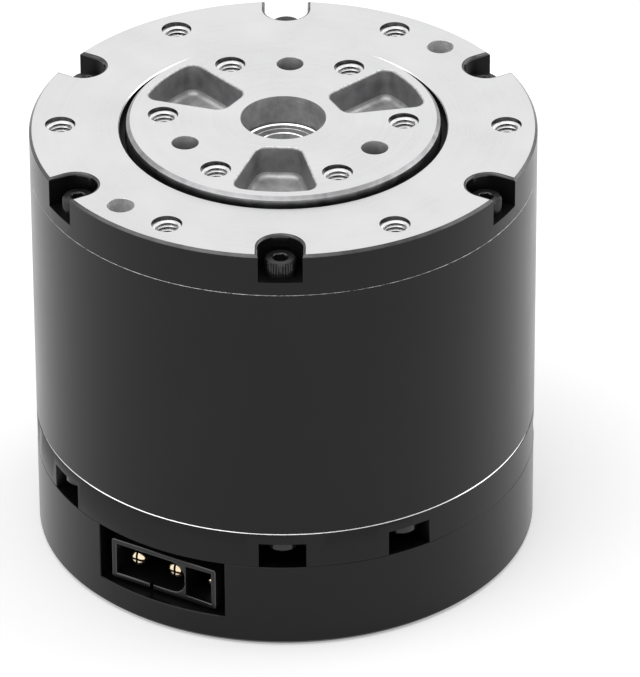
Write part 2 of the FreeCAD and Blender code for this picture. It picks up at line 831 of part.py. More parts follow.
def ring_gear():
    """The shared inside gear, with a tooth space on +X before it is turned to the rest angle."""
    piece = Piece("ring_gear")
    piece.turn("blank", ring(ring_tip_radius, ring_gear_radius, gearbox_floor, bearing_bottom))
    radii = [ring_tip_radius - dim.tooth_clearance, ring_pitch_radius, ring_root_radius]
    space = piece.pocket(
        "tooth_space",
        outline(tooth_outline(ring_teeth, ring_pitch_radius, radii, dim.tooth_backlash)),
        bearing_bottom,
        bearing_bottom - gearbox_floor,
    )
    piece.repeat("tooth_spaces", [space], ring_teeth)
    piece.place(angle=dim.flange_rest_angle)
    return piece


def planets(stage, bottom, face):
    """The planets of one stage, each with a tooth towards the sun and one towards the ring."""
    bore = dim.planet_pin_radius + dim.running_clearance
    pieces = []
    for number in range(SIZES["planet_count"]):
        piece = spur_gear(
            f"stage_{stage}_planet_{number + 1}", dim.planet_teeth, planet_pitch_radius, bottom, face, bore
        )
        angle = dim.flange_rest_angle + 360 * number / dim.planet_count
        across, along = polar(planet_distance, angle)
        piece.place(across, along, angle)
        pieces.append(piece)
    return pieces


def sun(label, bottom, face, bore):
    """A sun gear, turned half a tooth so that a space faces each planet."""
    piece = spur_gear(label, dim.sun_teeth, sun_pitch_radius, bottom, face, bore)
    piece.place(angle=dim.flange_rest_angle + 180 / dim.sun_teeth)
    return piece


def second_sun():
    """The second sun stands on a spigot that fills the first carrier's bore."""
    piece = sun("stage_2_sun", carrier_top, second_planets_top - carrier_top, dim.shaft_spigot_radius)
    piece.turn("spigot", ring(dim.shaft_spigot_radius, sun_spigot_radius, carrier_bottom, carrier_top))
    return piece


def pins(label, bottom, length):
    """Planet pins."""
    piece = Piece(label)
    pin = piece.pad("pin", circles([(planet_distance, 0)], dim.planet_pin_radius), bottom, length)
    piece.repeat("pins_round", [pin], dim.planet_count)
    piece.place(angle=dim.flange_rest_angle)
    return piece


def first_carrier():
    piece = Piece("stage_1_carrier")
    piece.turn(
        "plate",
        ring(sun_spigot_radius, planet_distance + dim.carrier_rim, carrier_bottom, carrier_top),
    )
    hole = piece.pocket(
        "pin_hole", circles([(planet_distance, 0)], dim.planet_pin_radius), carrier_top, dim.carrier_thickness
    )
    piece.repeat("pin_holes", [hole], dim.planet_count)
    piece.place(angle=dim.flange_rest_angle)
    return piece


def output_bearing():
    """Crossed roller bearing: V grooves at 45 degrees round the roller circle."""
    groove = (dim.roller_radius + dim.roller_clearance) / cosine(45)
    half_gap = dim.bearing_gap / 2
    half_mouth = groove - half_gap
    for label, face, side in (
        ("output_bearing_inner_ring", bearing_bore_radius, -1),
        ("output_bearing_outer_ring", bearing_outer_radius, 1),
    ):
        race = bearing_pitch_radius + half_gap * side
        piece = Piece(label)
        piece.turn("ring", [
            (face, bearing_bottom),
            (race, bearing_bottom),
            (race, bearing_middle - half_mouth),
            (bearing_pitch_radius + groove * side, bearing_middle),
            (race, bearing_middle + half_mouth),
            (race, bearing_top),
            (face, bearing_top),
        ])
    rollers()


def rollers():
    """Rollers on the roller circle, each leaning 45 degrees, one way and the other by turns."""
    count = SIZES["roller_count"]
    length = SIZES["roller_radius"] * 2 - SIZES["roller_clearance"] * 2
    solids = []
    for number in range(count):
        around = FreeCAD.Rotation(FreeCAD.Vector(0, 0, 1), 360 * number / count)
        lean = FreeCAD.Rotation(FreeCAD.Vector(0, 1, 0), 45 if number % 2 else 135)
        turned = around.multiply(lean)
        centre = FreeCAD.Vector(bearing_pitch_radius.value, 0, bearing_middle.value)
        axis = turned.multVec(FreeCAD.Vector(0, 0, 1))
        start = around.multVec(centre) - axis * (length / 2)
        solids.append(Part.makeCylinder(SIZES["roller_radius"], length, start, axis))
    feature = doc.addObject("Part::Feature", "output_bearing_rollers")
    feature.Label = "output_bearing_rollers"
    feature.Shape = Part.makeCompound(solids)
    feature.Placement = FreeCAD.Placement()
    loose.append(feature)


def output_seal():
    piece = Piece("output_seal")
    top = front_face - dim.seal_depth
    piece.turn("lip", ring(flange_radius + dim.seal_clearance, lip_radius, top - dim.seal_height, top))
    return piece


def rotor():
    shaft = Piece("rotor_shaft")
    shaft.turn("shaft", [
        (0, shaft_bottom),
        (dim.shaft_radius, shaft_bottom),
        (dim.shaft_radius, first_planets_bottom),
        (dim.shaft_spigot_radius, first_planets_bottom),
        (dim.shaft_spigot_radius, first_planets_top),
        (0, first_planets_top),
    ])
    sun("stage_1_sun", first_planets_bottom, dim.first_stage_face, dim.shaft_spigot_radius)
    bell = Piece("rotor_bell")
    bell.turn("bell", [
        (dim.shaft_radius, rotor_disc_bottom),
        (rotor_inner_radius, rotor_disc_bottom),
        (rotor_inner_radius, windings_bottom),
        (rotor_radius, windings_bottom),
        (rotor_radius, rotor_top),
        (dim.shaft_radius, rotor_top),
    ])
    magnets = Piece("rotor_magnets")
    half = dim.magnet_angle / 2
    magnet = magnets.pad(
        "magnet",
        outline([
            (*polar(rotor_inner_radius, -half), rotor_inner_radius, 1),
            polar(rotor_inner_radius, half),
            (*polar(magnet_face_radius, half), magnet_face_radius, -1),
            polar(magnet_face_radius, -half),
        ]),
        stator_bottom,
        dim.stator_stack,
    )
    magnets.repeat("magnets_round", [magnet], dim.magnet_count)
    encoder = Piece("encoder_magnet")
    disc = circles([(0, 0)], dim.shaft_radius - dim.encoder_magnet_step)
    encoder.pad("disc", disc, encoder_magnet_bottom, dim.encoder_magnet_height)


def rotor_bearings():
    """Two shielded bearings in the ends of the rear housing's boss."""
    width = dim.rotor_bearing_width
    bottoms = (rear_web_bottom, boss_top - width)
    outer_race = rotor_bearing_radius - dim.rotor_race
    inner_race = dim.shaft_radius + dim.rotor_race
    outer = Piece("rotor_bearing_outer_rings")
    inner = Piece("rotor_bearing_inner_rings")
    shields = Piece("rotor_bearing_shields")
    for number, bottom in enumerate(bottoms, 1):
        outer.turn(f"outer_{number}", ring(outer_race, rotor_bearing_radius, bottom, bottom + width))
        inner.turn(f"inner_{number}", ring(dim.shaft_radius, inner_race, bottom, bottom + width))
        # each bearing has its shield on the motor's outer side
        start = bottom if number == 1 else bottom + width - dim.shield_thickness
        shields.turn(
            f"shield_{number}",
            ring(inner_race + dim.shield_gap, outer_race, start, start + dim.shield_thickness),
        )


def stator():
    core = Piece("stator_core")
    core.turn("yoke", ring(dim.stator_boss_radius, stator_yoke_radius, stator_bottom, stator_top))
    half = dim.tooth_width / 2
    shoe_half = dim.shoe_angle / 2
    yoke_inside = stator_yoke_radius - dim.stator_yoke / 2
    shoe_start = shoe_radius - dim.shoe_slope
    tooth = core.pad(
        "tooth",
        outline([
            (yoke_inside, -half),
            (shoe_start, -half),
            polar(shoe_radius, -shoe_half),
            (*polar(stator_radius, -shoe_half), stator_radius, 1),
            polar(stator_radius, shoe_half),
            polar(shoe_radius, shoe_half),
            (shoe_start, half),
            (yoke_inside, half),
        ]),
        stator_bottom,
        dim.stator_stack,
    )
    core.repeat("teeth", [tooth], dim.stator_slots)
    coils = Piece("stator_coils")
    slope = tangent(180 / dim.stator_slots)
    near, far = winding_inner_radius, winding_outer_radius
    spare = dim.winding_spacing / 2
    coil = coils.pad(
        "coil",
        outline([
            (near, spare - near * slope),
            (far, spare - far * slope),
            (far, far * slope - spare),
            (near, near * slope - spare),
        ]),
        windings_bottom,
        windings_top - windings_bottom,
    )
    wide = half + dim.winding_gap
    window = coils.pocket(
        "window",
        outline([
            (near - spare, -wide),
            (far + spare, -wide),
            (far + spare, wide),
            (near - spare, wide),
        ]),
        stator_top + dim.winding_gap,
        dim.stator_stack + dim.winding_gap * 2,
    )
    coils.repeat("coils_round", [coil, window], dim.stator_slots)
    leads = Piece("phase_leads")
    lead = leads.pad("lead", circles(lead_centres, dim.lead_radius), board_top, windings_bottom - board_top)
    leads.repeat("leads_round", [lead], dim.lead_count)


def driver_board():
    board = Piece("driver_board")
    board.pad("disc", circles([(0, 0)], board_radius), board_bottom, dim.board_thickness)
    screw_circles = circles(board_screw_centres, dim.screw_radius)
    hole = board.pocket("screw_hole", screw_circles, board_top, dim.board_thickness)
    board.repeat("screw_holes", [hole], dim.board_screw_count)
    encoder = Piece("encoder_chip")
    half = dim.encoder_chip_side / 2
    encoder.pad("chip", outline(box(-half, half, -half, half)), board_top, dim.chip_height)
    chips = Piece("board_chips")
    side = dim.processor_side / 2
    shapes = [box(-side, side, -side, side)]
    wide, deep = dim.transistor_length / 2, dim.transistor_width / 2
    for row in (0, 1):
        middle_y = dim.processor_side + dim.transistor_row_spacing * row
        for column in (-1, 0, 1):
            middle_x = dim.transistor_pitch * column
            shapes.append(box(middle_x - wide, middle_x + wide, middle_y - deep, middle_y + deep))
    chips.pad("chips", outlines(shapes), board_bottom - dim.chip_height, dim.chip_height)
    capacitors = Piece("board_capacitors")
    middle = dim.capacitor_spacing / 2
    capacitors.pad(
        "cans",
        circles([(-middle, 0), (middle, 0)], dim.capacitor_radius),
        board_bottom - dim.capacitor_height,
        dim.capacitor_height,
    )


def connector():
    """The connector lies under the board; its outlines are drawn as seen from the front, x and z."""
    shell = Piece("connector_shell")
    half = dim.shell_width / 2
    back = shell_front - dim.shell_length
    top = board_bottom
    shell.pad("body", outline(box(-half, half, shell_bottom, top)), back, dim.shell_length, "XZ_Plane")
    wall = dim.shell_wall
    left = -half + wall
    signal_right = half - wall
    signal_left = signal_right - dim.signal_cavity_width
    right = signal_left - dim.cavity_wall
    low, high = shell_bottom + wall, top - wall
    cut = dim.power_cavity_chamfer
    shell.pocket(
        "power_cavity",
        outline([
            (left, low), (right - cut, low), (right, low + cut),
            (right, high - cut), (right - cut, high), (left, high),
        ]),
        shell_front, dim.power_cavity_depth, "XZ_Plane",
    )
    shell.pocket(
        "signal_cavity",
        outline(box(signal_left, signal_right, low, high)),
        shell_front, dim.signal_cavity_depth, "XZ_Plane",
    )
    key = dim.key_width / 2
    middle = (left + right) / 2
    shell.pocket(
        "key_notch",
        outline(box(middle - key, middle + key, shell_bottom - wall, low + wall)),
        shell_front, dim.key_depth, "XZ_Plane",
    )
    across = (signal_left + signal_right) / 2
    reach, step = dim.power_pin_spacing / 2, dim.signal_pin_spacing / 2
    power_centres = [(middle - reach, shell_middle), (middle + reach, shell_middle)]
    signal_centres = [(across, shell_middle - step), (across, shell_middle + step)]
    power_front = shell_front - dim.power_pin_recess
    signal_front = shell_front - dim.signal_pin_recess
    for label, centres, radius, front, length in (
        ("power_pins", power_centres, dim.power_pin_radius, power_front, dim.power_pin_length),
        ("signal_pins", signal_centres, dim.signal_pin_radius, signal_front, dim.signal_pin_length),
    ):
        contacts = Piece(label)
        contacts.pad("pins", circles(centres, radius), front - length, length, "XZ_Plane")
        shell.pocket(f"{label}_holes", circles(centres, radius), front, length, "XZ_Plane")


def all_screws():
    cap, low = dim.cap_head_height, dim.low_head_height
    deep, shallow = dim.hex_socket_depth, dim.low_socket_depth
    board_grip = dim.board_thickness + dim.board_screw_grip
    for label, centres, seat, up, head_height, socket_depth, grip, count in (
        ("front_ring_screws", notch_screw_centres, notch_floor_height, True, cap, deep,
         dim.screw_grip, dim.notch_count),
        ("rear_housing_screws", slot_screw_centres, slot_ceiling, False, low, shallow,
         dim.screw_grip, dim.slot_group_count),
        ("rear_cover_screws", cover_screw_centres, dim.cover_counterbore_depth, False, cap, deep,
         dim.cover_height, dim.cover_screw_count),
        ("board_screws", board_screw_centres, board_bottom, False, low, shallow,
         board_grip, dim.board_screw_count),
    ):
        screws(label, centres, seat, up, head_height, socket_depth, grip, count)


rear_cover()
rear_housing()
motor_housing()
front_ring()
output_flange()
ring_gear()
planets(1, first_planets_bottom, dim.first_stage_face)
planets(2, second_planets_bottom, dim.second_stage_face)
first_carrier()
second_sun()
pins("stage_1_pins", first_planets_bottom, carrier_top - first_planets_bottom)
pins("stage_2_pins", second_planets_bottom, flange_bottom + dim.second_pin_seat - second_planets_bottom)
output_bearing()
output_seal()
rotor()
rotor_bearings()
stator()
driver_board()
connector()
all_screws()
doc.recompute()

broken = [o.Name for o in doc.Objects if "Invalid" in o.State or "Error" in o.State]
if broken:
    raise RuntimeError(f"failed objects: {broken}")
os.makedirs("parts", exist_ok=True)
for sub_part in [o for o in doc.Objects if o.TypeId == "PartDesign::Body"] + loose:
    shape = sub_part.Shape
    if shape.isNull() or not shape.isValid() or not shape.Solids:
        raise RuntimeError(f"{sub_part.Label} has no valid solid")
    shape.exportStep(f"parts/{sub_part.Label}.step")
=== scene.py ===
import functools
import json
import logging
import math
from collections.abc import Callable, Iterable, Sequence
from dataclasses import dataclass, field
from enum import Enum, IntEnum

import bmesh
import bpy
from mathutils import Matrix, Vector


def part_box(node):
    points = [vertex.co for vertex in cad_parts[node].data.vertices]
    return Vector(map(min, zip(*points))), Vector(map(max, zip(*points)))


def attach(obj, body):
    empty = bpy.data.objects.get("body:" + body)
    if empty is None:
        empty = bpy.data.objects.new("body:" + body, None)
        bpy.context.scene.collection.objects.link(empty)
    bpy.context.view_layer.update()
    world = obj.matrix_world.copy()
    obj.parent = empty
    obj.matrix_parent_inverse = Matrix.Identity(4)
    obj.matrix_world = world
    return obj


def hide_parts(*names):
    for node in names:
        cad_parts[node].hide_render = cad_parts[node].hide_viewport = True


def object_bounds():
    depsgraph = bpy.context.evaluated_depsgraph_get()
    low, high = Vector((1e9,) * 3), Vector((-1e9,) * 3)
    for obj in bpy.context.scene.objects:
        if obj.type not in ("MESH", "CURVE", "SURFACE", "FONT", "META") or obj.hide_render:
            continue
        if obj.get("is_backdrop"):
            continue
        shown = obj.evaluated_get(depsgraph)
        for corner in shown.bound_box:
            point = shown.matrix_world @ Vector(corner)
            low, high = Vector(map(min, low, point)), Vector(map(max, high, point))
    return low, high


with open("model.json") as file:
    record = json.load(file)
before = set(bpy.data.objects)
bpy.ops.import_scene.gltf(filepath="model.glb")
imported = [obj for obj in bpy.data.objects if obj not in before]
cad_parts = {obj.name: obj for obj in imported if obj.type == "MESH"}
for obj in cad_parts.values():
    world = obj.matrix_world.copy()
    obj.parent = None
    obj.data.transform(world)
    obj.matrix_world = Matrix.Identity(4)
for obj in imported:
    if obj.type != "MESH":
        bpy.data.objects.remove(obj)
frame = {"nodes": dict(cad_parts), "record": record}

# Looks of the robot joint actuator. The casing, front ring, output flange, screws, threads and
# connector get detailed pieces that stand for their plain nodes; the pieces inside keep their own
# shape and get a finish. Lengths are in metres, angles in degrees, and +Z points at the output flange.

log = logging.getLogger("actuator")

MM = 0.001
MICRON = 1e-6
UP = Vector((0.0, 0.0, 1.0))
SIDEWAYS = Vector((1.0, 0.0, 0.0))
HEXAGON = 6

# How close corners lie that are merged, that are split by a plane, that lie in one plane, that
# stand at one place, and that stand on one circle.
MERGED = 0.5 * MICRON
MERGED_CUT = 0.2 * MICRON
SPLIT = 0.1 * MICRON
FLUSH = 2.0 * MICRON
SAME_PLACE = 5.0 * MICRON
SAME_CIRCLE = 20.0 * MICRON

# The height of a face's normal: less on a wall, in between on a chamfer, more on a floor, and
# the most on a turned face and on a level one.
WALL_NORMAL = 0.3
CHAMFER_NORMAL = 0.5
FLOOR_NORMAL = 0.9
TURNED_NORMAL = 0.999
LEVEL_NORMAL = 0.9999

# A round shape's radius, a little less and a little more, because its flats cut corners.
JUST_INSIDE = 0.999
JUST_OUTSIDE = 1.001

# The angles of a clear corner, in radians, and of facets that count as one flat, in degrees.
CORNER_ANGLE = 0.6
FLAT_ANGLE = 0.4

# How far the fine marks show in a finish's colours, and the bands that the colours, the
# roughness and the edges of copper traces spread over.
MARK_SHARE = 0.35
COLOUR_BAND = (0.35, 0.65)
ROUGHNESS_BAND = (0.3, 0.7)
TRACE_BAND = (0.30, 0.36)

Colour = tuple[float, float, float]
EdgePick = Callable[[bmesh.types.BMEdge], bool]
FacePick = Callable[[bmesh.types.BMFace], bool]


# ---------------------------------------------------------------- finishes


class Pattern(Enum):
    """How the fine marks of a finish lie on the surface."""

    GRAIN = "grain"
    TURNED = "turned"
    LAYERS = "layers"
    TRACES = "traces"


@dataclass(frozen=True)
class Finish:
    """A surface finish: two close colours, mixed by soft clouds, with fine marks in the relief.

    The marks are grain in all directions, lathe marks round the axis, layers along it, or the
    copper traces of a circuit board. mark is their size and relief their height.
    """

    name: str
    colour: Colour
    tint: Colour
    metallic: float
    roughness: float
    roughness_spread: float = 0.06
    specular: float = 0.5
    pattern: Pattern = Pattern.GRAIN
    mark: float = 0.2 * MM
    relief: float = 1.0 * MICRON
    cloud: float = 6.0 * MM

    def build(self) -> bpy.types.Material:
        """Makes the material.

        Returns:
            The new material, with constants set on the shader's own sockets.
        """
        material = bpy.data.materials.new(self.name)
        material.use_nodes = True
        material.diffuse_color = (*self.colour, 1.0)
        tree = NodeTree(material.node_tree)
        shader = material.node_tree.nodes["Principled BSDF"]
        shader.inputs["Metallic"].default_value = self.metallic
        shader.inputs["Specular IOR Level"].default_value = self.specular
        place = tree.add("ShaderNodeTexCoord").outputs["Object"]
        clouds = tree.noise(place, self.cloud, detail=3.0)
        marks = self.marks(tree, place)
        blend = tree.math("MULTIPLY_ADD", marks, MARK_SHARE, tree.math("MULTIPLY", clouds, 1.0 - MARK_SHARE))
        colour = tree.mix(tree.span(blend, *COLOUR_BAND), self.colour, self.tint)
        tree.link(colour, shader.inputs["Base Color"])
        low, high = self.roughness - self.roughness_spread, self.roughness + self.roughness_spread
        tree.link(tree.span(blend, *ROUGHNESS_BAND, low, high), shader.inputs["Roughness"])
        bump = tree.add("ShaderNodeBump")
        bump.inputs["Strength"].default_value = 1.0
        bump.inputs["Distance"].default_value = self.relief
        tree.link(marks, bump.inputs["Height"])
        tree.link(bump.outputs["Normal"], shader.inputs["Normal"])
        return material

    def marks(self, tree: "NodeTree", place: bpy.types.NodeSocket) -> bpy.types.NodeSocket:
        """Height of the fine marks, from 0 to 1.

        Args:
            tree: The material's nodes.
            place: The point on the surface.

        Returns:
            The socket that carries the height.
        """
        if self.pattern is Pattern.GRAIN:
            return tree.noise(place, self.mark, detail=2.0)
        if self.pattern is Pattern.TURNED:
            return tree.noise(tree.round_the_axis(place), self.mark, detail=2.0)
        if self.pattern is Pattern.LAYERS:
            height = tree.axis(place, "Z")
            wave = tree.math("SINE", tree.math("MULTIPLY", height, 2.0 * math.pi / self.mark))
            return tree.span(wave, -1.0, 1.0)
        cells = tree.add("ShaderNodeTexVoronoi")
        cells.distance = "CHEBYCHEV"
        cells.feature = "F1"
        cells.inputs["Scale"].default_value = 1.0 / self.mark
        tree.link(place, cells.inputs["Vector"])
        return tree.span(cells.outputs["Distance"], *TRACE_BAND)


class NodeTree:
    """Short calls for the shader nodes that the finishes are made of."""

    def __init__(self, tree: bpy.types.NodeTree) -> None:
        """Wraps a material's or the world's node tree."""
        self.tree = tree

    def add(self, kind: str) -> bpy.types.Node:
        """Adds a node of a kind."""
        return self.tree.nodes.new(kind)

    def link(self, source: bpy.types.NodeSocket, target: bpy.types.NodeSocket) -> None:
        """Joins two sockets."""
        self.tree.links.new(source, target)

    def feed(self, value: float | bpy.types.NodeSocket, target: bpy.types.NodeSocket) -> None:
        """Sets an input to a number or links it to a socket.

        Args:
            value: The number or the socket.
            target: The input.
        """
        if isinstance(value, (int, float)):
            target.default_value = value
        else:
            self.link(value, target)

    def math(
        self,
        operation: str,
        first: float | bpy.types.NodeSocket,
        second: float | bpy.types.NodeSocket = 0.0,
        third: float | bpy.types.NodeSocket = 0.0,
    ) -> bpy.types.NodeSocket:
        """One arithmetic step.

        Args:
            operation: The Math node's operation.
            first: A number or a socket.
            second: A number or a socket.
            third: A number or a socket.

        Returns:
            The result's socket.
        """
        node = self.add("ShaderNodeMath")
        node.operation = operation
        for value, target in zip((first, second, third), node.inputs):
            self.feed(value, target)
        return node.outputs[0]

    def span(
        self,
        value: bpy.types.NodeSocket,
        low: float,
        high: float,
        to_low: float = 0.0,
        to_high: float = 1.0,
    ) -> bpy.types.NodeSocket:
        """Maps one range of values to another, clamped.

        Args:
            value: The socket to map.
            low: The value that becomes to_low.
            high: The value that becomes to_high.
            to_low: The result at low.
            to_high: The result at high.

        Returns:
            The result's socket.
        """
        node = self.add("ShaderNodeMapRange")
        for name, number in (("From Min", low), ("From Max", high), ("To Min", to_low), ("To Max", to_high)):
            node.inputs[name].default_value = number
        self.link(value, node.inputs["Value"])
        return node.outputs["Result"]

    def noise(self, place: bpy.types.NodeSocket, size: float, detail: float) -> bpy.types.NodeSocket:
        """Soft noise whose blobs are about size across.

        Args:
            place: The point on the surface.
            size: The width of a blob.
            detail: The number of finer layers.

        Returns:
            The socket of a value around a half.
        """
        node = self.add("ShaderNodeTexNoise")
        node.inputs["Scale"].default_value = 1.0 / size
        node.inputs["Detail"].default_value = detail
        self.link(place, node.inputs["Vector"])
        return node.outputs["Fac"]

    def mix(self, factor: bpy.types.NodeSocket, first: Colour, second: Colour) -> bpy.types.NodeSocket:
        """A colour between two.

        Args:
            factor: 0 for the first colour, 1 for the second.
            first: The first colour.
            second: The second colour.

        Returns:
            The colour's socket.
        """
        node = self.add("ShaderNodeMix")
        node.data_type = "RGBA"
        ends = [socket for socket in node.inputs if socket.type == "RGBA"]
        for socket, colour in zip(ends, (first, second)):
            socket.default_value = (*colour, 1.0)
        self.link(factor, node.inputs["Factor"])
        return next(socket for socket in node.outputs if socket.type == "RGBA")

    def axis(self, place: bpy.types.NodeSocket, name: str) -> bpy.types.NodeSocket:
        """One coordinate of a point.

        Args:
            place: The point.
            name: X, Y or Z.

        Returns:
            The coordinate's socket.
        """
        node = self.add("ShaderNodeSeparateXYZ")
        self.link(place, node.inputs["Vector"])
        return node.outputs[name]

    def round_the_axis(self, place: bpy.types.NodeSocket) -> bpy.types.NodeSocket:
        """A point's distance from the Z axis and its height, as a vector for marks of turning.

        Args:
            place: The point on the surface.

        Returns:
            The socket of the vector.
        """
        squares = [
            self.math("MULTIPLY", self.axis(place, name), self.axis(place, name)) for name in ("X", "Y")
        ]
        radius = self.math("SQRT", self.math("ADD", *squares))
        node = self.add("ShaderNodeCombineXYZ")
        self.link(radius, node.inputs["X"])
        self.link(self.axis(place, "Z"), node.inputs["Z"])
        return node.outputs["Vector"]

    def shows_white(self) -> bpy.types.NodeSocket:
        """Where a backdrop is seen straight, in a reflection or through something clear.

        Returns:
            The socket of 1 there and 0 elsewhere.
        """
        path = self.add("ShaderNodeLightPath")
        seen = self.math("MAXIMUM", path.outputs["Is Camera Ray"], path.outputs["Is Glossy Ray"])
        return self.math("MAXIMUM", seen, path.outputs["Is Transmission Ray"])


BLACK_ANODISED = Finish(
    "black_anodised", (0.0020, 0.0020, 0.0022), (0.0040, 0.0040, 0.0043), 0.0, 0.25,
    roughness_spread=0.03, specular=0.25, mark=0.12 * MM, relief=0.5 * MICRON, cloud=9.0 * MM,
)
BLACK_GLOSS = Finish(
    "black_anodised_gloss", (0.004, 0.004, 0.0043), (0.007, 0.007, 0.0075), 0.0, 0.13,
    specular=0.8, mark=0.15 * MM, relief=1.0 * MICRON, cloud=2.0 * MM,
)
# Painted shade: the black anodising again, with weaker reflection, for faces in notches, recesses and
# cavities.
BLACK_PAINTED_SHADE = Finish(
    "black_anodised_painted_shade", (0.0035, 0.0035, 0.0037), (0.0055, 0.0055, 0.0057), 0.0, 0.35,
    specular=0.12, mark=0.12 * MM, relief=1.0 * MICRON, cloud=2.0 * MM,
)
TURNED_ALUMINIUM = Finish(
    "turned_aluminium", (0.72, 0.72, 0.725), (0.77, 0.77, 0.775), 1.0, 0.30,
    pattern=Pattern.TURNED, mark=0.22 * MM, relief=0.4 * MICRON, cloud=7.0 * MM,
)
# Painted shade: the turned aluminium made darker for the flange's outer side and chamfer.
TURNED_SHADED_EDGE = Finish(
    "turned_aluminium_painted_shade_edge", (0.22, 0.22, 0.225), (0.38, 0.38, 0.385), 1.0, 0.34,
    pattern=Pattern.TURNED, mark=0.12 * MM, relief=2.0 * MICRON, cloud=1.5 * MM,
)
# Painted shade: milled aluminium made dark for the walls of pockets and dowel holes and for the bore's
# ledges.
MILLED_DEEP_SHADE = Finish(
    "milled_aluminium_painted_deep_shade", (0.20, 0.20, 0.205), (0.31, 0.31, 0.315), 0.85, 0.52,
    mark=0.14 * MM, relief=6.0 * MICRON, cloud=1.4 * MM,
)
# Painted half shade: the same milled aluminium, lighter than the walls and darker than the turned face, for
# pocket floors, fillets and the bore's upright walls.
MILLED_HALF_SHADE = Finish(
    "milled_aluminium_painted_half_shade", (0.40, 0.40, 0.405), (0.60, 0.60, 0.605), 0.85, 0.50,
    mark=0.16 * MM, relief=7.0 * MICRON, cloud=1.2 * MM,
)
DEBURRED = Finish(
    "deburred_aluminium", (0.36, 0.36, 0.365), (0.66, 0.66, 0.665), 1.0, 0.45,
    mark=0.14 * MM, relief=14.0 * MICRON, cloud=0.4 * MM,
)
REAMED = Finish(
    "reamed_aluminium", (0.52, 0.52, 0.525), (0.74, 0.74, 0.745), 0.35, 0.42,
    mark=0.20 * MM, relief=2.0 * MICRON, cloud=0.7 * MM,
)
DARK_EDGE = Finish(
    "dark_turned_edge", (0.035, 0.035, 0.036), (0.085, 0.085, 0.087), 0.5, 0.24,
    specular=0.9, pattern=Pattern.TURNED, mark=0.1 * MM, relief=1.5 * MICRON, cloud=2.0 * MM,
)
# Bright cut aluminium on the bore's cones and the lip's chamfer; on the rear housing's black chamfer it is a
# painted highlight.
BRIGHT_CUT_AND_HIGHLIGHT = Finish(
    "bright_cut_aluminium_and_painted_highlight", (0.80, 0.80, 0.805), (0.90, 0.90, 0.90), 1.0, 0.20,
    pattern=Pattern.TURNED, mark=0.1 * MM, relief=0.3 * MICRON,
)
# Painted highlight: a bright line, speckled by clouds, for the motor housing's top edge.
SPECKLED_HIGHLIGHT_EDGE = Finish(
    "speckled_painted_highlight_edge", (0.03, 0.03, 0.031), (0.75, 0.75, 0.75), 0.9, 0.30,
    mark=0.25 * MM, relief=2.0 * MICRON, cloud=1.1 * MM,
)
THREAD_ALUMINIUM = Finish(
    "thread_aluminium", (0.86, 0.86, 0.865), (0.94, 0.94, 0.94), 1.0, 0.32,
    mark=0.3 * MM, relief=1.0 * MICRON, cloud=1.0 * MM,
)
# Painted shade: aluminium made nearly black for the walls of threaded holes and the bore's groove.
TAPPED_WALL_SHADE = Finish(
    "tapped_wall_painted_shade", (0.03, 0.03, 0.032), (0.09, 0.09, 0.092), 1.0, 0.25,
    mark=0.2 * MM, relief=2.0 * MICRON, cloud=0.6 * MM,
)
BLACK_OXIDE = Finish(
    "black_oxide_steel", (0.0045, 0.0045, 0.005), (0.012, 0.012, 0.0125), 0.0, 0.24,
    specular=0.45, mark=0.1 * MM, relief=3.0 * MICRON, cloud=1.2 * MM,
)
MOULDED_BLACK = Finish(
    "moulded_black_nylon", (0.005, 0.005, 0.005), (0.009, 0.009, 0.009), 0.0, 0.30,
    specular=0.35, mark=0.09 * MM, relief=3.0 * MICRON, cloud=2.0 * MM,
)
GOLD_PLATE = Finish(
    "gold_plate", (0.93, 0.74, 0.50), (0.99, 0.86, 0.66), 1.0, 0.13,
    mark=0.25 * MM, relief=1.0 * MICRON, cloud=0.8 * MM,
)
GEAR_STEEL = Finish(
    "ground_gear_steel", (0.42, 0.42, 0.43), (0.55, 0.55, 0.56), 1.0, 0.30,
    pattern=Pattern.TURNED, mark=0.15 * MM, relief=1.5 * MICRON, cloud=2.5 * MM,
)
BEARING_STEEL = Finish(
    "polished_bearing_steel", (0.62, 0.62, 0.63), (0.70, 0.70, 0.71), 1.0, 0.14,
    roughness_spread=0.04, pattern=Pattern.TURNED, mark=0.12 * MM, relief=0.4 * MICRON,
)
SEAL_RUBBER = Finish(
    "seal_rubber", (0.008, 0.008, 0.008), (0.014, 0.014, 0.014), 0.0, 0.65,
    specular=0.3, mark=0.15 * MM, relief=5.0 * MICRON,
)
LAMINATIONS = Finish(
    "stacked_laminations", (0.16, 0.17, 0.19), (0.32, 0.33, 0.35), 1.0, 0.38,
    pattern=Pattern.LAYERS, mark=0.35 * MM, relief=14.0 * MICRON,
)
COPPER_WIRE = Finish(
    "enamelled_copper_wire", (0.55, 0.19, 0.07), (0.72, 0.30, 0.12), 1.0, 0.26,
    pattern=Pattern.LAYERS, mark=0.5 * MM, relief=70.0 * MICRON,
)
ROTOR_STEEL = Finish(
    "turned_rotor_steel", (0.26, 0.26, 0.27), (0.36, 0.36, 0.37), 1.0, 0.34,
    pattern=Pattern.TURNED, mark=0.2 * MM, relief=2.0 * MICRON,
)
MAGNET_NICKEL = Finish(
    "nickel_plated_magnet", (0.52, 0.51, 0.48), (0.60, 0.59, 0.56), 1.0, 0.22,
    mark=0.3 * MM, relief=1.0 * MICRON,
)
BOARD_GREEN = Finish(
    "board_solder_mask", (0.006, 0.055, 0.022), (0.012, 0.095, 0.038), 0.0, 0.28,
    pattern=Pattern.TRACES, mark=2.4 * MM, relief=25.0 * MICRON,
)
CHIP_EPOXY = Finish(
    "chip_epoxy", (0.010, 0.010, 0.011), (0.017, 0.017, 0.018), 0.0, 0.50,
    mark=0.08 * MM, relief=3.0 * MICRON,
)
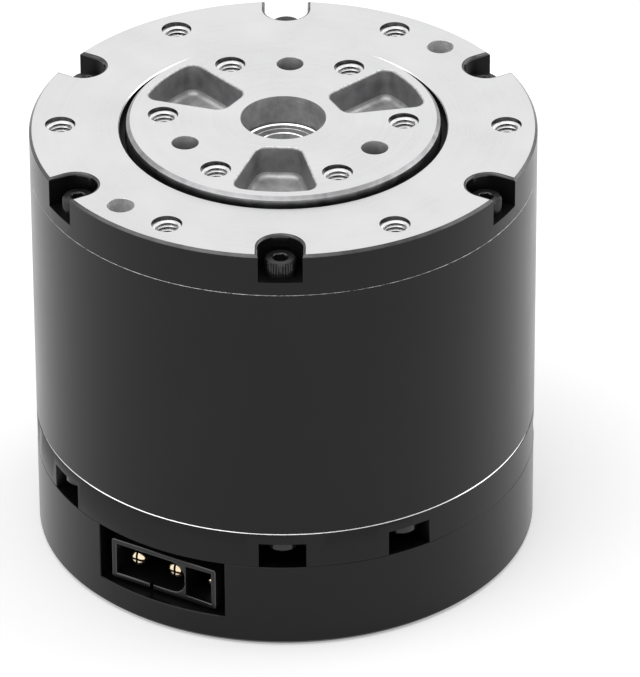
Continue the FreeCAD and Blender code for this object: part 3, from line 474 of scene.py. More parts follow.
CAPACITOR_CAN = Finish(
    "capacitor_can", (0.60, 0.60, 0.62), (0.70, 0.70, 0.72), 1.0, 0.30,
    mark=0.3 * MM, relief=1.0 * MICRON,
)


@functools.cache
def material_of(finish: Finish) -> bpy.types.Material:
    """The one material of a finish, made when it is first asked for."""
    return finish.build()


class Surface(IntEnum):
    """The material indexes of the pieces that are cut from one blank."""

    BLACK = 0
    GLOSS = 1
    # painted shade in notches, recesses and cavities
    PAINTED_SHADE = 2
    TURNED = 3
    # painted shade on the flange's outer rim
    SHADED_RIM = 4
    # painted deep shade and painted half shade of milled aluminium
    DEEP_SHADE = 5
    HALF_SHADE = 6
    DEBURRED = 7
    REAMED = 8
    # bright cut, and a painted highlight on the rear housing
    BRIGHT = 9
    # painted highlight on the motor housing's top edge
    PAINTED_HIGHLIGHT = 10
    # painted shade in threaded holes and grooves
    SHADED_HOLE = 11
    DARK_EDGE = 12


SURFACES = (
    BLACK_ANODISED,
    BLACK_GLOSS,
    BLACK_PAINTED_SHADE,
    TURNED_ALUMINIUM,
    TURNED_SHADED_EDGE,
    MILLED_DEEP_SHADE,
    MILLED_HALF_SHADE,
    DEBURRED,
    REAMED,
    BRIGHT_CUT_AND_HIGHLIGHT,
    SPECKLED_HIGHLIGHT_EDGE,
    TAPPED_WALL_SHADE,
    DARK_EDGE,
)


# ---------------------------------------------------------------- shapes


def top_of(node: str) -> float:
    """Height of a node's highest point."""
    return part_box(node)[1].z


def bottom_of(node: str) -> float:
    """Height of a node's lowest point."""
    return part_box(node)[0].z


def on_circle(radius: float, angle: float, height: float = 0.0) -> Vector:
    """The point at a radius and an angle about Z."""
    turn = math.radians(angle)
    return Vector((radius * math.cos(turn), radius * math.sin(turn), height))


def round_angles(first: float, count: int) -> list[float]:
    """Equally spaced angles from a first one."""
    return [first + 360.0 * number / count for number in range(count)]


def is_level(edge: bmesh.types.BMEdge, height: float) -> bool:
    """Does an edge lie in the level plane at a height?"""
    return all(abs(vert.co.z - height) < FLUSH for vert in edge.verts)


def is_wall(face: bmesh.types.BMFace) -> bool:
    """Does a face stand upright?"""
    return abs(face.normal.z) < WALL_NORMAL


def is_chamfer(face: bmesh.types.BMFace) -> bool:
    """Does a face slope upwards as a chamfer does?"""
    return CHAMFER_NORMAL < face.normal.z < FLOOR_NORMAL


def lowest(face: bmesh.types.BMFace) -> float:
    """Height of a face's lowest corner."""
    return min(vert.co.z for vert in face.verts)


def highest(face: bmesh.types.BMFace) -> float:
    """Height of a face's highest corner."""
    return max(vert.co.z for vert in face.verts)


def middle_of(face: bmesh.types.BMFace) -> float:
    """Radius halfway between a face's nearest and farthest corner."""
    return sum(radii(face)) / 2.0


def radii(face: bmesh.types.BMFace) -> tuple[float, float]:
    """The least and the greatest distance of a face's corners from the Z axis."""
    lengths = [vert.co.xy.length for vert in face.verts]
    return min(lengths), max(lengths)


def middle_radius(edge: bmesh.types.BMEdge) -> float:
    """Distance of an edge's middle from the Z axis."""
    return ((edge.verts[0].co + edge.verts[1].co) / 2.0).xy.length


def drops_between(edge: bmesh.types.BMEdge, face: float, low: float, high: float) -> bool:
    """Does an edge at the height of a face stand over a wall whose foot is between low and high?"""
    walls = [side for side in edge.link_faces if is_wall(side)]
    return is_level(edge, face) and any(low < lowest(side) < high for side in walls)


class Shape:
    """A mesh in the making, shaped by bmesh operators in the frame's own place and size."""

    def __init__(self) -> None:
        """Starts empty."""
        self.mesh = bmesh.new()

    @classmethod
    def of_node(cls, node: str) -> "Shape":
        """A copy of a node's mesh, merged, with its flat triangles joined.

        Args:
            node: The name of the node.

        Returns:
            The copy.
        """
        shape = cls()
        shape.mesh.from_mesh(frame["nodes"][node].data)
        bmesh.ops.remove_doubles(shape.mesh, verts=shape.mesh.verts, dist=MERGED)
        bmesh.ops.dissolve_limit(
            shape.mesh,
            angle_limit=math.radians(FLAT_ANGLE),
            use_dissolve_boundaries=False,
            verts=shape.mesh.verts,
            edges=shape.mesh.edges,
        )
        return shape.paint(lambda face: True, Surface.BLACK)

    @classmethod
    def lathe(cls, profile: Sequence[tuple[float, float]], steps: int) -> "Shape":
        """A solid turned about Z from an open (radius, height) profile that starts and ends on Z.

        Args:
            profile: The corners of the profile.
            steps: The number of flats round the turn.

        Returns:
            The closed solid.
        """
        shape = cls()
        verts = [shape.mesh.verts.new((radius, 0.0, height)) for radius, height in profile]
        edges = [shape.mesh.edges.new(pair) for pair in zip(verts, verts[1:])]
        bmesh.ops.spin(
            shape.mesh,
            geom=verts + edges,
            cent=(0.0, 0.0, 0.0),
            axis=UP,
            angle=2.0 * math.pi,
            steps=steps,
            use_merge=True,
        )
        shape.tidy()
        return shape

    @classmethod
    def prism(cls, sides: int, radius: float, bottom: float, top: float) -> "Shape":
        """An upright prism about Z.

        Args:
            sides: The number of its sides.
            radius: The radius of its corners.
            bottom: The height of its lower face.
            top: The height of its upper face.

        Returns:
            The closed solid.
        """
        shape = cls()
        bmesh.ops.create_circle(shape.mesh, cap_ends=True, radius=radius, segments=sides)
        shape.move(Vector((0.0, 0.0, bottom)))
        shape.raise_face(list(shape.mesh.faces), top - bottom)
        shape.tidy()
        return shape

    @classmethod
    def block(cls, low: Vector, high: Vector) -> "Shape":
        """A box.

        Args:
            low: Its lowest corner.
            high: Its highest corner.

        Returns:
            The closed solid.
        """
        shape = cls()
        bmesh.ops.create_cube(shape.mesh, size=1.0)
        bmesh.ops.scale(shape.mesh, vec=high - low, verts=shape.mesh.verts)
        shape.move((low + high) / 2.0)
        return shape

    @classmethod
    def outline(cls, points: Sequence[tuple[float, float]], bottom: float, top: float) -> "Shape":
        """An upright prism over a flat outline.

        Args:
            points: The outline's corners.
            bottom: The height of its lower face.
            top: The height of its upper face.

        Returns:
            The closed solid.
        """
        shape = cls()
        verts = [shape.mesh.verts.new((x, y, bottom)) for x, y in points]
        shape.raise_face([shape.mesh.faces.new(verts)], top - bottom)
        shape.tidy()
        return shape

    def split_level(self, height: float) -> "Shape":
        """Splits every face that crosses a height.

        Args:
            height: The height of the split.

        Returns:
            This shape, split.
        """
        geom = [*self.mesh.verts, *self.mesh.edges, *self.mesh.faces]
        bmesh.ops.bisect_plane(self.mesh, geom=geom, dist=SPLIT, plane_co=(0.0, 0.0, height), plane_no=UP)
        return self

    def raise_face(self, faces: list[bmesh.types.BMFace], height: float, scale: float = 1.0) -> None:
        """Extrudes faces along Z and scales the new end about Z.

        Args:
            faces: The faces to extrude.
            height: How far they go.
            scale: The size of the new end against the old.
        """
        edges = {edge for face in faces for edge in face.edges}
        made = bmesh.ops.extrude_face_region(self.mesh, geom=[*faces, *edges])["geom"]
        verts = [item for item in made if isinstance(item, bmesh.types.BMVert)]
        bmesh.ops.translate(self.mesh, vec=(0.0, 0.0, height), verts=verts)
        bmesh.ops.scale(self.mesh, vec=(scale, scale, 1.0), verts=verts)
        self.mesh.faces.ensure_lookup_table()

    def tidy(self) -> None:
        """Merges doubles and turns every face outwards."""
        bmesh.ops.remove_doubles(self.mesh, verts=self.mesh.verts, dist=MERGED)
        bmesh.ops.recalc_face_normals(self.mesh, faces=self.mesh.faces)

    def move(self, by: Vector) -> "Shape":
        """Moves the whole shape and returns it."""
        bmesh.ops.translate(self.mesh, vec=by, verts=self.mesh.verts)
        return self

    def turn(self, angle: float, axis: Vector = UP) -> "Shape":
        """Turns the whole shape about an axis through the origin.

        Args:
            angle: How far it turns.
            axis: The direction of the axis.

        Returns:
            This shape, turned.
        """
        turning = Matrix.Rotation(math.radians(angle), 3, axis)
        bmesh.ops.rotate(self.mesh, matrix=turning, verts=self.mesh.verts)
        return self

    def add(self, other: "Shape") -> "Shape":
        """Takes in another shape's faces as they are.

        Args:
            other: The other shape.

        Returns:
            This shape, with both.
        """
        held = bpy.data.meshes.new("held")
        other.mesh.to_mesh(held)
        self.mesh.from_mesh(held)
        bpy.data.meshes.remove(held)
        return self

    def copies(self, places: Iterable[Vector], turns: Iterable[float] | None = None) -> "Shape":
        """The same shape at several places, turned about Z first.

        Args:
            places: Where each copy goes.
            turns: The angle of each copy, or None for none.

        Returns:
            One shape with all the copies.
        """
        whole = Shape()
        places = list(places)
        for place, angle in zip(places, turns or [0.0] * len(places)):
            before = len(whole.mesh.verts)
            whole.add(self)
            whole.mesh.verts.ensure_lookup_table()
            fresh = whole.mesh.verts[before:]
            bmesh.ops.rotate(whole.mesh, matrix=Matrix.Rotation(math.radians(angle), 3, UP), verts=fresh)
            bmesh.ops.translate(whole.mesh, vec=place, verts=fresh)
        return whole

    def cut(self, cutter: "Shape", surface: Surface = Surface.BLACK) -> "Shape":
        """Takes a cutter's volume away and gives the cut faces a surface.

        Args:
            cutter: Closed solids that don't meet each other.
            surface: The surface of the new faces where the cutter has none of its own.

        Returns:
            This shape, cut.
        """
        cutter.paint(lambda face: face.material_index == Surface.BLACK, surface)
        body, tool = self.as_object("body_to_cut"), cutter.as_object("cutter")
        for finish in SURFACES:
            for holder in (body, tool):
                holder.data.materials.append(material_of(finish))
        difference = body.modifiers.new("difference", "BOOLEAN")
        difference.operation = "DIFFERENCE"
        difference.solver = "EXACT"
        difference.object = tool
        bpy.context.view_layer.update()
        graph = bpy.context.evaluated_depsgraph_get()
        result = bpy.data.meshes.new_from_object(body.evaluated_get(graph))
        self.mesh.clear()
        self.mesh.from_mesh(result)
        for holder in (body, tool):
            held = holder.data
            bpy.data.objects.remove(holder)
            bpy.data.meshes.remove(held)
        bpy.data.meshes.remove(result)
        bmesh.ops.remove_doubles(self.mesh, verts=self.mesh.verts, dist=MERGED_CUT)
        return self

    def bevel(
        self, picks: EdgePick, width: float, segments: int = 1, surface: int = -1, clamp: bool = False
    ) -> "Shape":
        """Chamfers or rounds the edges that picks accepts.

        Args:
            picks: Says which edges.
            width: The width of the chamfer along each face.
            segments: 1 for a chamfer, more for a round.
            surface: The surface of the new faces, or -1 to take the neighbours'.
            clamp: Whether the width shrinks where chamfers would meet.

        Returns:
            This shape, bevelled.
        """
        edges = [edge for edge in self.mesh.edges if len(edge.link_faces) == 2 and picks(edge)]
        bmesh.ops.bevel(
            self.mesh,
            geom=edges,
            offset=width,
            offset_type="OFFSET",
            segments=segments,
            profile=0.5,
            affect="EDGES",
            clamp_overlap=clamp,
            material=surface,
        )
        return self

    def paint(self, picks: FacePick, surface: int) -> "Shape":
        """Gives the faces that picks accepts a surface.

        Args:
            picks: Says which faces.
            surface: The surface.

        Returns:
            This shape, painted.
        """
        for face in self.mesh.faces:
            if picks(face):
                face.material_index = surface
        return self

    def as_object(self, name: str) -> bpy.types.Object:
        """Makes a plain object with this mesh.

        Args:
            name: The object's name.

        Returns:
            The object, linked to the scene.
        """
        data = bpy.data.meshes.new(name)
        self.mesh.to_mesh(data)
        piece = bpy.data.objects.new(name, data)
        bpy.context.scene.collection.objects.link(piece)
        return piece

    def finish(
        self,
        name: str,
        finishes: Sequence[Finish],
        body: str,
        slot: str,
        stands_for: Sequence[str] = (),
        sharp: float = 28.0,
    ) -> bpy.types.Object:
        """Makes the piece, dresses it and lets it ride.

        Args:
            name: The piece's name.
            finishes: Its finishes, in the order of its material indexes.
            body: The body that it moves with.
            slot: Not used.
            stands_for: The nodes that it replaces.
            sharp: The angle past which an edge stays sharp.

        Returns:
            The finished object.
        """
        piece = self.as_object(name)
        self.mesh.free()
        for finish in finishes:
            piece.data.materials.append(material_of(finish))
        piece.data.shade_smooth()
        piece.data.set_sharp_from_angle(angle=math.radians(sharp))
        for face in piece.data.polygons:
            face.use_smooth = abs(face.normal.z) < LEVEL_NORMAL
        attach(piece, body)
        if stands_for:
            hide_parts(*stands_for)
        log.info("%s: %d faces on %s", name, len(piece.data.polygons), body)
        return piece


# ---------------------------------------------------------------- casing


@dataclass
class Casing:
    """The rear cover, the rear housing and the motor housing, with their fine edges.

    A share is a part of the casing's radius, past which an edge or a face belongs to the outside.
    The connector's opening lies within opening_width times the connector's own half width.
    """

    seam: float = 0.06 * MM
    slot_edge: float = 0.07 * MM
    opening_edge: float = 0.098 * MM
    top_edge: float = 0.06 * MM
    bright_width: float = 0.23 * MM
    recess: float = 0.4 * MM
    rim_share: float = 0.985
    slot_share: float = 0.9985
    bright_share: float = 0.98
    opening_width: float = 1.35
    opening_rise: float = 2.0 * MM
    slot_land: float = 1.0 * MM
    floor_normal: float = 0.99
    body: str = "housing"
    slot: str = "black_anodised"

    def build(self) -> None:
        """Builds the three shells."""
        self.rear_cover()
        self.rear_housing()
        self.motor_housing()

    def rim(self, height: float, radius: float) -> EdgePick:
        """Picks the edges of an outer rim at a height, on a casing of a radius."""
        return lambda edge: is_level(edge, height) and middle_radius(edge) > radius * self.rim_share

    def rear_cover(self) -> bpy.types.Object:
        """The cup at the rear, with the connector's opening.

        Returns:
            The finished object.
        """
        low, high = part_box("rear_cover")
        shape = Shape.of_node("rear_cover")
        half_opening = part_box("connector_shell")[1].x * self.opening_width

        def opening_edge(edge: bmesh.types.BMEdge) -> bool:
            """Is this an outer edge of the connector's opening?

            Args:
                edge: The edge to judge.

            Returns:
                True for an edge of the opening.
            """
            outer = all(vert.co.xy.length > high.x * JUST_INSIDE for vert in edge.verts)
            near = all(vert.co.y < 0.0 and abs(vert.co.x) < half_opening for vert in edge.verts)
            raised = edge.verts[0].co.z > low.z + self.opening_rise
            return outer and near and raised and edge.calc_face_angle(0.0) > CORNER_ANGLE

        # the faces inside the skin get the painted shade finish
        shape.paint(self.inside(high.x), Surface.PAINTED_SHADE)
        shape.bevel(opening_edge, self.opening_edge, surface=Surface.BLACK)
        shape.bevel(self.rim(high.z, high.x), self.seam, surface=Surface.BLACK)
        return shape.finish("rear_cover_shell", SURFACES, self.body, self.slot, ["rear_cover"])

    def inside(self, radius: float) -> FacePick:
        """Picks the upright faces that lie inside the outer skin.

        Args:
            radius: The casing's radius.

        Returns:
            The test for a face.
        """
        skin = radius - self.recess
        return lambda face: (
            abs(face.normal.z) < self.floor_normal and face.calc_center_median().xy.length < skin
        )

    def rear_housing(self) -> bpy.types.Object:
        """The ring with the screw slots, whose upper edge carries a painted highlight.

        Returns:
            The finished object.
        """
        low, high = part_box("rear_housing")
        top = bottom_of("motor_housing")
        shape = Shape.of_node("rear_housing")

        def slot_edge(edge: bmesh.types.BMEdge) -> bool:
            """Is this an outer edge of a screw slot?

            Args:
                edge: The edge to judge.

            Returns:
                True for an edge of a slot.
            """
            outer = all(vert.co.xy.length > high.x * self.slot_share for vert in edge.verts)
            inside = all(low.z - MICRON < vert.co.z < top - self.slot_land for vert in edge.verts)
            return outer and inside and edge.calc_face_angle(0.0) > CORNER_ANGLE

        # the faces inside the skin get the painted shade finish
        shape.paint(self.inside(high.x - self.recess), Surface.PAINTED_SHADE)
        shape.bevel(slot_edge, self.slot_edge, surface=Surface.BLACK)
        shape.split_level(top - self.bright_width)

        def in_painted_highlight(face: bmesh.types.BMFace) -> bool:
            """Is this the upper part of the top chamfer, where the highlight is painted?"""
            sloping = is_chamfer(face) and radii(face)[0] > high.x * self.bright_share
            return sloping and lowest(face) > top - self.bright_width - MICRON

        # the upper band of the chamfer gets a painted highlight
        shape.paint(in_painted_highlight, Surface.BRIGHT)
        return shape.finish("rear_housing_shell", SURFACES, self.body, self.slot, ["rear_housing"])

    def motor_housing(self) -> bpy.types.Object:
        """The tall shell round the motor and the gears.

        Returns:
            The finished object.
        """
        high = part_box("motor_housing")[1]
        shape = Shape.of_node("motor_housing")
        # the top edge's small bevel gets a speckled painted highlight
        shape.bevel(self.rim(high.z, high.x), self.top_edge, surface=Surface.PAINTED_HIGHLIGHT)
        return shape.finish("motor_housing_shell", SURFACES, self.body, self.slot, ["motor_housing"])


# ---------------------------------------------------------------- threaded holes


@dataclass(frozen=True)
class ThreadedHole:
    """An M3 hole: a countersunk mouth, a wall at the thread's root and a helical ridge.

    first_drop and half_height are parts of the pitch: how deep the ridge starts, and how tall
    half of it is at its root. buried is how far the ridge reaches into the wall.
    """

    root_radius: float = 1.58 * MM
    crest_radius: float = 1.24 * MM
    mouth_radius: float = 1.72 * MM
    mouth_depth: float = 0.32 * MM
    pitch: float = 0.5 * MM
    turns: int = 5
    steps_per_turn: int = 28
    clear: float = 0.4 * MM
    crest_flat: float = 0.04 * MM
    crest_slope: float = 0.07 * MM
    first_drop: float = 0.66
    half_height: float = 0.32
    buried: float = 0.05 * MM
    start_angle: float = -60.0
    wall_steps: int = 40
    sharp: float = 20.0

    def cutter(self, face: float, depth: float) -> Shape:
        """The solid that opens the hole from a face down to a depth.

        Args:
            face: The height of the face that the hole opens in.
            depth: How deep the hole goes.

        Returns:
            The cutter, on the Z axis.
        """
        profile = [
            (0.0, face + self.clear),
            (self.mouth_radius, face + self.clear),
            (self.mouth_radius, face),
            (self.root_radius, face - self.mouth_depth),
            (self.root_radius, face - depth),
            (0.0, face - depth),
        ]
        return Shape.lathe(profile, self.wall_steps)

    def ridge(self, face: float) -> Shape:
        """The helical ridge that stands between the thread's grooves.

        Args:
            face: The height of the face that the hole opens in.

        Returns:
            The ridge, on the Z axis.
        """
        shape = Shape()
        root = self.root_radius + self.buried
        start = face - self.pitch * self.first_drop
        half = self.pitch * self.half_height
        corners = [
            (root, start + half),
            (self.crest_radius + self.crest_slope, start + self.crest_slope),
            (self.crest_radius, start - self.crest_flat),
            (root, start - half),
        ]
        verts = [
            shape.mesh.verts.new(on_circle(radius, self.start_angle, height)) for radius, height in corners
        ]
        section = shape.mesh.faces.new(verts)
        bmesh.ops.spin(
            shape.mesh,
            geom=[section, *section.edges, *verts],
            cent=(0.0, 0.0, 0.0),
            axis=UP,
            dvec=(0.0, 0.0, -self.pitch / self.steps_per_turn),
            angle=2.0 * math.pi * self.turns,
            steps=self.steps_per_turn * self.turns,
        )
        open_edges = [edge for edge in shape.mesh.edges if len(edge.link_faces) == 1]
        bmesh.ops.holes_fill(shape.mesh, edges=open_edges, sides=4)
        bmesh.ops.recalc_face_normals(shape.mesh, faces=shape.mesh.faces)
        return shape


# ---------------------------------------------------------------- front ring


@dataclass
class FrontRing:
    """The fixed ring at the front: a bare turned face in a black anodised rim."""

    hole: ThreadedHole = field(default_factory=ThreadedHole)
    first_hole_angle: float = 30.0
    notch_count: int = 6
    notch_half_width: float = 2.6 * MM
    notch_share: float = 0.83
    notch_round: float = 0.34 * MM
    outward: float = 0.9
    dowel_angle: float = 75.0
    dowel_chamfer: float = 0.05 * MM
    lip_chamfer: float = 0.12 * MM
    body: str = "housing"
    slot: str = "bare_aluminium"

    def build(self) -> None:
        """Builds the ring and its threads."""
        low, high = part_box("front_ring")
        mount = mount_named("housing_bolt_circle")
        circle = mount["dims"]["pcd_mm"] * MM / 2.0
        angles = round_angles(self.first_hole_angle, mount["dims"]["count"])
        places = [on_circle(circle, angle) for angle in angles]
        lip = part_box("output_seal")[1].x
        shape = Shape.of_node("front_ring")
        shape.paint(
            lambda face: face.normal.z > TURNED_NORMAL and lowest(face) > high.z - MICRON, Surface.TURNED
        )
        shape.paint(is_chamfer, Surface.DARK_EDGE)
        # the notches' walls and floors get the painted shade finish
        shape.paint(lambda face: self.is_notch_wall(face, high), Surface.PAINTED_SHADE)
        depth = high.z - low.z + self.hole.clear
        # the holes' walls and mouths get the painted shade finish
        shape.cut(self.hole.cutter(high.z, depth).copies(places), Surface.SHADED_HOLE)
        shape.bevel(
            lambda edge: self.is_notch_edge(edge, high), self.notch_round, segments=4, surface=Surface.GLOSS
        )
        shape.bevel(
            lambda edge: self.is_dowel_edge(edge, high.z), self.dowel_chamfer, surface=Surface.DEBURRED
        )
        shape.bevel(
            lambda edge: is_level(edge, high.z) and middle_radius(edge) < lip + SAME_CIRCLE,
            self.lip_chamfer,
            surface=Surface.BRIGHT,
        )
        shape.paint(self.is_dowel_wall, Surface.REAMED)
        shape.finish("front_ring_turned", SURFACES, self.body, self.slot, ["front_ring"])
        threads = self.hole.ridge(high.z).copies(places)
        threads.finish("front_ring_threads", [THREAD_ALUMINIUM], self.body, self.slot, sharp=self.hole.sharp)

    def is_notch_edge(self, edge: bmesh.types.BMEdge, high: Vector) -> bool:
        """Is this an edge between the top face and a notch's wall?

        Args:
            edge: The edge to judge.
            high: The ring's highest corner.

        Returns:
            True for an edge of a notch's mouth.
        """
        upright = any(is_wall(face) for face in edge.link_faces)
        middle = (edge.verts[0].co + edge.verts[1].co) / 2.0
        return is_level(edge, high.z) and upright and self.in_notch(middle, high)

    def is_notch_wall(self, face: bmesh.types.BMFace, high: Vector) -> bool:
        """Is this part of a notch's wall or floor?

        Args:
            face: The face to judge.
            high: The ring's highest corner.

        Returns:
            True for a face of a notch that doesn't face outwards.
        """
        centre = face.calc_center_median()
        outside = is_wall(face) and face.normal.dot(centre) > self.outward * centre.xy.length
        return face.material_index == Surface.BLACK and not outside and self.in_notch(centre, high)

    def in_notch(self, point: Vector, high: Vector) -> bool:
        """Does a point lie in one of the notches, seen from above?

        Args:
            point: The point to judge.
            high: The ring's highest corner.

        Returns:
            True for a point in a notch.
        """
        step = 360.0 / self.notch_count
        angle = (math.degrees(math.atan2(point.y, point.x)) + step / 2.0) % step - step / 2.0
        local = on_circle(point.xy.length, angle)
        return local.x > high.x * self.notch_share and abs(local.y) < self.notch_half_width

    def dowel_places(self) -> list[Vector]:
        """Where the dowel holes are.

        Returns:
            Their middles.
        """
        dims = mount_named("housing_dowel_circle")["dims"]
        angles = round_angles(self.dowel_angle, dims["count"])
        return [on_circle(dims["pcd_mm"] * MM / 2.0, angle) for angle in angles]

    def is_dowel_edge(self, edge: bmesh.types.BMEdge, face: float) -> bool:
        """Is this an edge of a dowel hole's mouth?

        Args:
            edge: The edge to judge.
            face: The height of the top face.

        Returns:
            True for an edge of a mouth.
        """
        radius = mount_named("housing_dowel_circle")["dims"]["hole_r_mm"] * MM
        ends = [min((vert.co.xy - place.xy).length for place in self.dowel_places()) for vert in edge.verts]
        return is_level(edge, face) and max(ends) < radius + SAME_CIRCLE

    def is_dowel_wall(self, face: bmesh.types.BMFace) -> bool:
        """Is this part of a dowel hole's wall?

        Args:
            face: The face to judge.

        Returns:
            True for a face of such a wall.
        """
        radius = mount_named("housing_dowel_circle")["dims"]["hole_r_mm"] * MM
        centre = face.calc_center_median().xy
        near = min((centre - place.xy).length for place in self.dowel_places())
        return is_wall(face) and near < radius + SAME_CIRCLE


def mount_named(name: str) -> dict:
    """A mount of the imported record, by its name."""
    return next(mount for mount in frame["record"]["mounts"] if mount["name"] == name)


# ---------------------------------------------------------------- output flange


@dataclass
class OutputFlange:
    """The turning flange: bare turned face, milled pockets, stepped centre bore.

    Walls nearer the outer edge than skin belong to it, and faces within edge_rim of it get its
    finish, which is darker than the turned face: painted shade. The pockets' mouths lie between the
    two radii of pocket_span, and their walls end at most pocket_slack above the floor. The step on
    the bore's ledge lies between the two parts of its radius that step_span gives.
    """

    hole: ThreadedHole = field(default_factory=ThreadedHole)
    rest_angle: float = 57.1
    first_hole_angle: float = 30.0
    hole_depth: float = 6.0 * MM
    skin: float = 0.5 * MM
    edge_rim: float = 0.45 * MM
    pocket_edge: float = 0.2 * MM
    pocket_round: float = 0.6 * MM
    pocket_slack: float = 0.8 * MM
    pocket_span: tuple[float, float] = (6.0 * MM, 16.5 * MM)
    through_radius: float = 2.85 * MM
    shave: float = 0.01 * MM
    groove_width: float = 0.17 * MM
    groove_depth: float = 0.3 * MM
    rim_width: float = 0.17 * MM
    rim_depth: float = 0.12 * MM
    step_depth: float = 0.05 * MM
    step_span: tuple[float, float] = (0.99, 1.05)
    bore_steps: int = 96
    inner_chamfer: float = 0.08 * MM
    dowel_depth: float = 4.0 * MM
    dowel_chamfer: float = 0.05 * MM
    body: str = "output_stage"
    slot: str = "bare_aluminium"

    def build(self) -> None:
        """Builds the flange and its threads."""
        face = top_of("output_flange")
        floor = top_of("output_bearing_inner_ring")
        bore = mount_named("output_pilot_bore")["dims"]
        ledge = face - bore["length_mm"] * MM
        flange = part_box("output_flange")[1].x
        mount = mount_named("output_bolt_circle")
        circle = mount["dims"]["pcd_mm"] * MM / 2.0
        angles = round_angles(self.rest_angle + self.first_hole_angle, mount["dims"]["count"])
        places = [on_circle(circle, angle) for angle in angles]

        def floor_edge(edge: bmesh.types.BMEdge) -> bool:
            """Is this an edge of a pocket's floor?"""
            heights = sorted(side.normal.z for side in edge.link_faces)
            return is_level(edge, floor) and heights[1] > FLOOR_NORMAL and abs(heights[0]) < WALL_NORMAL

        def pocket_edge(edge: bmesh.types.BMEdge) -> bool:
            """Is this an edge of a pocket's mouth?"""
            deep = drops_between(edge, face, floor - SAME_PLACE, floor + self.pocket_slack)
            return deep and self.pocket_span[0] < middle_radius(edge) < self.pocket_span[1]

        def dowel_edge(edge: bmesh.types.BMEdge) -> bool:
            """Is this an edge of a dowel hole's mouth?"""
            foot = face - self.dowel_depth
            return drops_between(edge, face, foot - SAME_PLACE, foot + SAME_PLACE)

        def sunk_wall(side: bmesh.types.BMFace) -> bool:
            """Is this a wall of a pocket or of a dowel hole?"""
            return is_wall(side) and radii(side)[1] < flange - self.skin and lowest(side) > floor - MM

        shape = Shape.of_node("output_flange")
        shape.paint(lambda side: True, Surface.TURNED)
        # pocket and dowel walls get the painted deep shade, sunk floors and fillets the lighter painted half
        # shade
        shape.paint(sunk_wall, Surface.DEEP_SHADE)
        shape.paint(lambda side: side.normal.z > FLOOR_NORMAL and lowest(side) < face - MM, Surface.HALF_SHADE)
        # the outer side and chamfer get the painted shade finish
        shape.paint(lambda side: radii(side)[0] > flange - self.edge_rim, Surface.SHADED_RIM)
        # the holes' walls and mouths get the painted shade finish
        shape.cut(self.hole.cutter(face, self.hole_depth).copies(places), Surface.SHADED_HOLE)
        shape.cut(self.bore(bore["r_mm"] * MM, face, ledge, bottom_of("output_flange")))
        shape.bevel(floor_edge, self.pocket_round, segments=5, surface=Surface.HALF_SHADE)
        shape.bevel(pocket_edge, self.pocket_edge, segments=2, surface=Surface.DEBURRED)
        shape.bevel(dowel_edge, self.dowel_chamfer, surface=Surface.DEBURRED)
        shape.finish("output_flange_turned", SURFACES, self.body, self.slot, ["output_flange"])
        threads = self.hole.ridge(face).copies(places)
        threads.finish(
            "output_flange_threads", [THREAD_ALUMINIUM], self.body, self.slot, sharp=self.hole.sharp
        )

    def bore(self, radius: float, face: float, ledge: float, bottom: float) -> Shape:
        """The cutter of the stepped centre bore, with a groove painted dark as shade and two bright rims.

        Args:
            radius: The radius of the pilot bore.
            face: The height of the top face.
            ledge: The height of the ledge.
            bottom: The height of the flange's underside.

        Returns:
            The cutter, with its own surfaces.
        """
        wide, level = radius + self.shave, ledge - self.shave
        rim = wide - self.groove_width
        through = self.through_radius + self.shave
        upper = level - self.rim_depth
        lower = upper - self.step_depth
        middle = (rim + through) / 2.0
        profile = [
            (0.0, face + MM),
            (wide, face + MM),
            (wide, level - self.groove_depth),
            (rim, level - self.groove_depth),
            (rim, level),
            (rim - self.rim_width, upper),
            (middle + self.step_depth, upper),
            (middle, lower),
            (through + self.inner_chamfer, lower),
            (through, lower - self.inner_chamfer),
            (through, bottom - MM),
            (0.0, bottom - MM),
        ]
        near, far = (middle * part for part in self.step_span)
        cutter = Shape.lathe(profile, self.bore_steps)
        # the bore's upright walls get painted half shade and its ledges painted deep shade
        cutter.paint(is_wall, Surface.HALF_SHADE)
        cutter.paint(lambda side: radii(side)[1] < through * JUST_OUTSIDE, Surface.REAMED)
        cutter.paint(lambda side: abs(side.normal.z) > FLOOR_NORMAL, Surface.DEEP_SHADE)
        cutter.paint(lambda side: WALL_NORMAL < abs(side.normal.z) < FLOOR_NORMAL, Surface.BRIGHT)
        cutter.paint(lambda side: near < middle_of(side) < far, Surface.DEBURRED)
        # the groove gets the painted shade finish
        cutter.paint(
            lambda side: highest(side) < level + MICRON and radii(side)[0] > rim * JUST_INSIDE, Surface.SHADED_HOLE
        )
        return cutter


# ---------------------------------------------------------------- screws


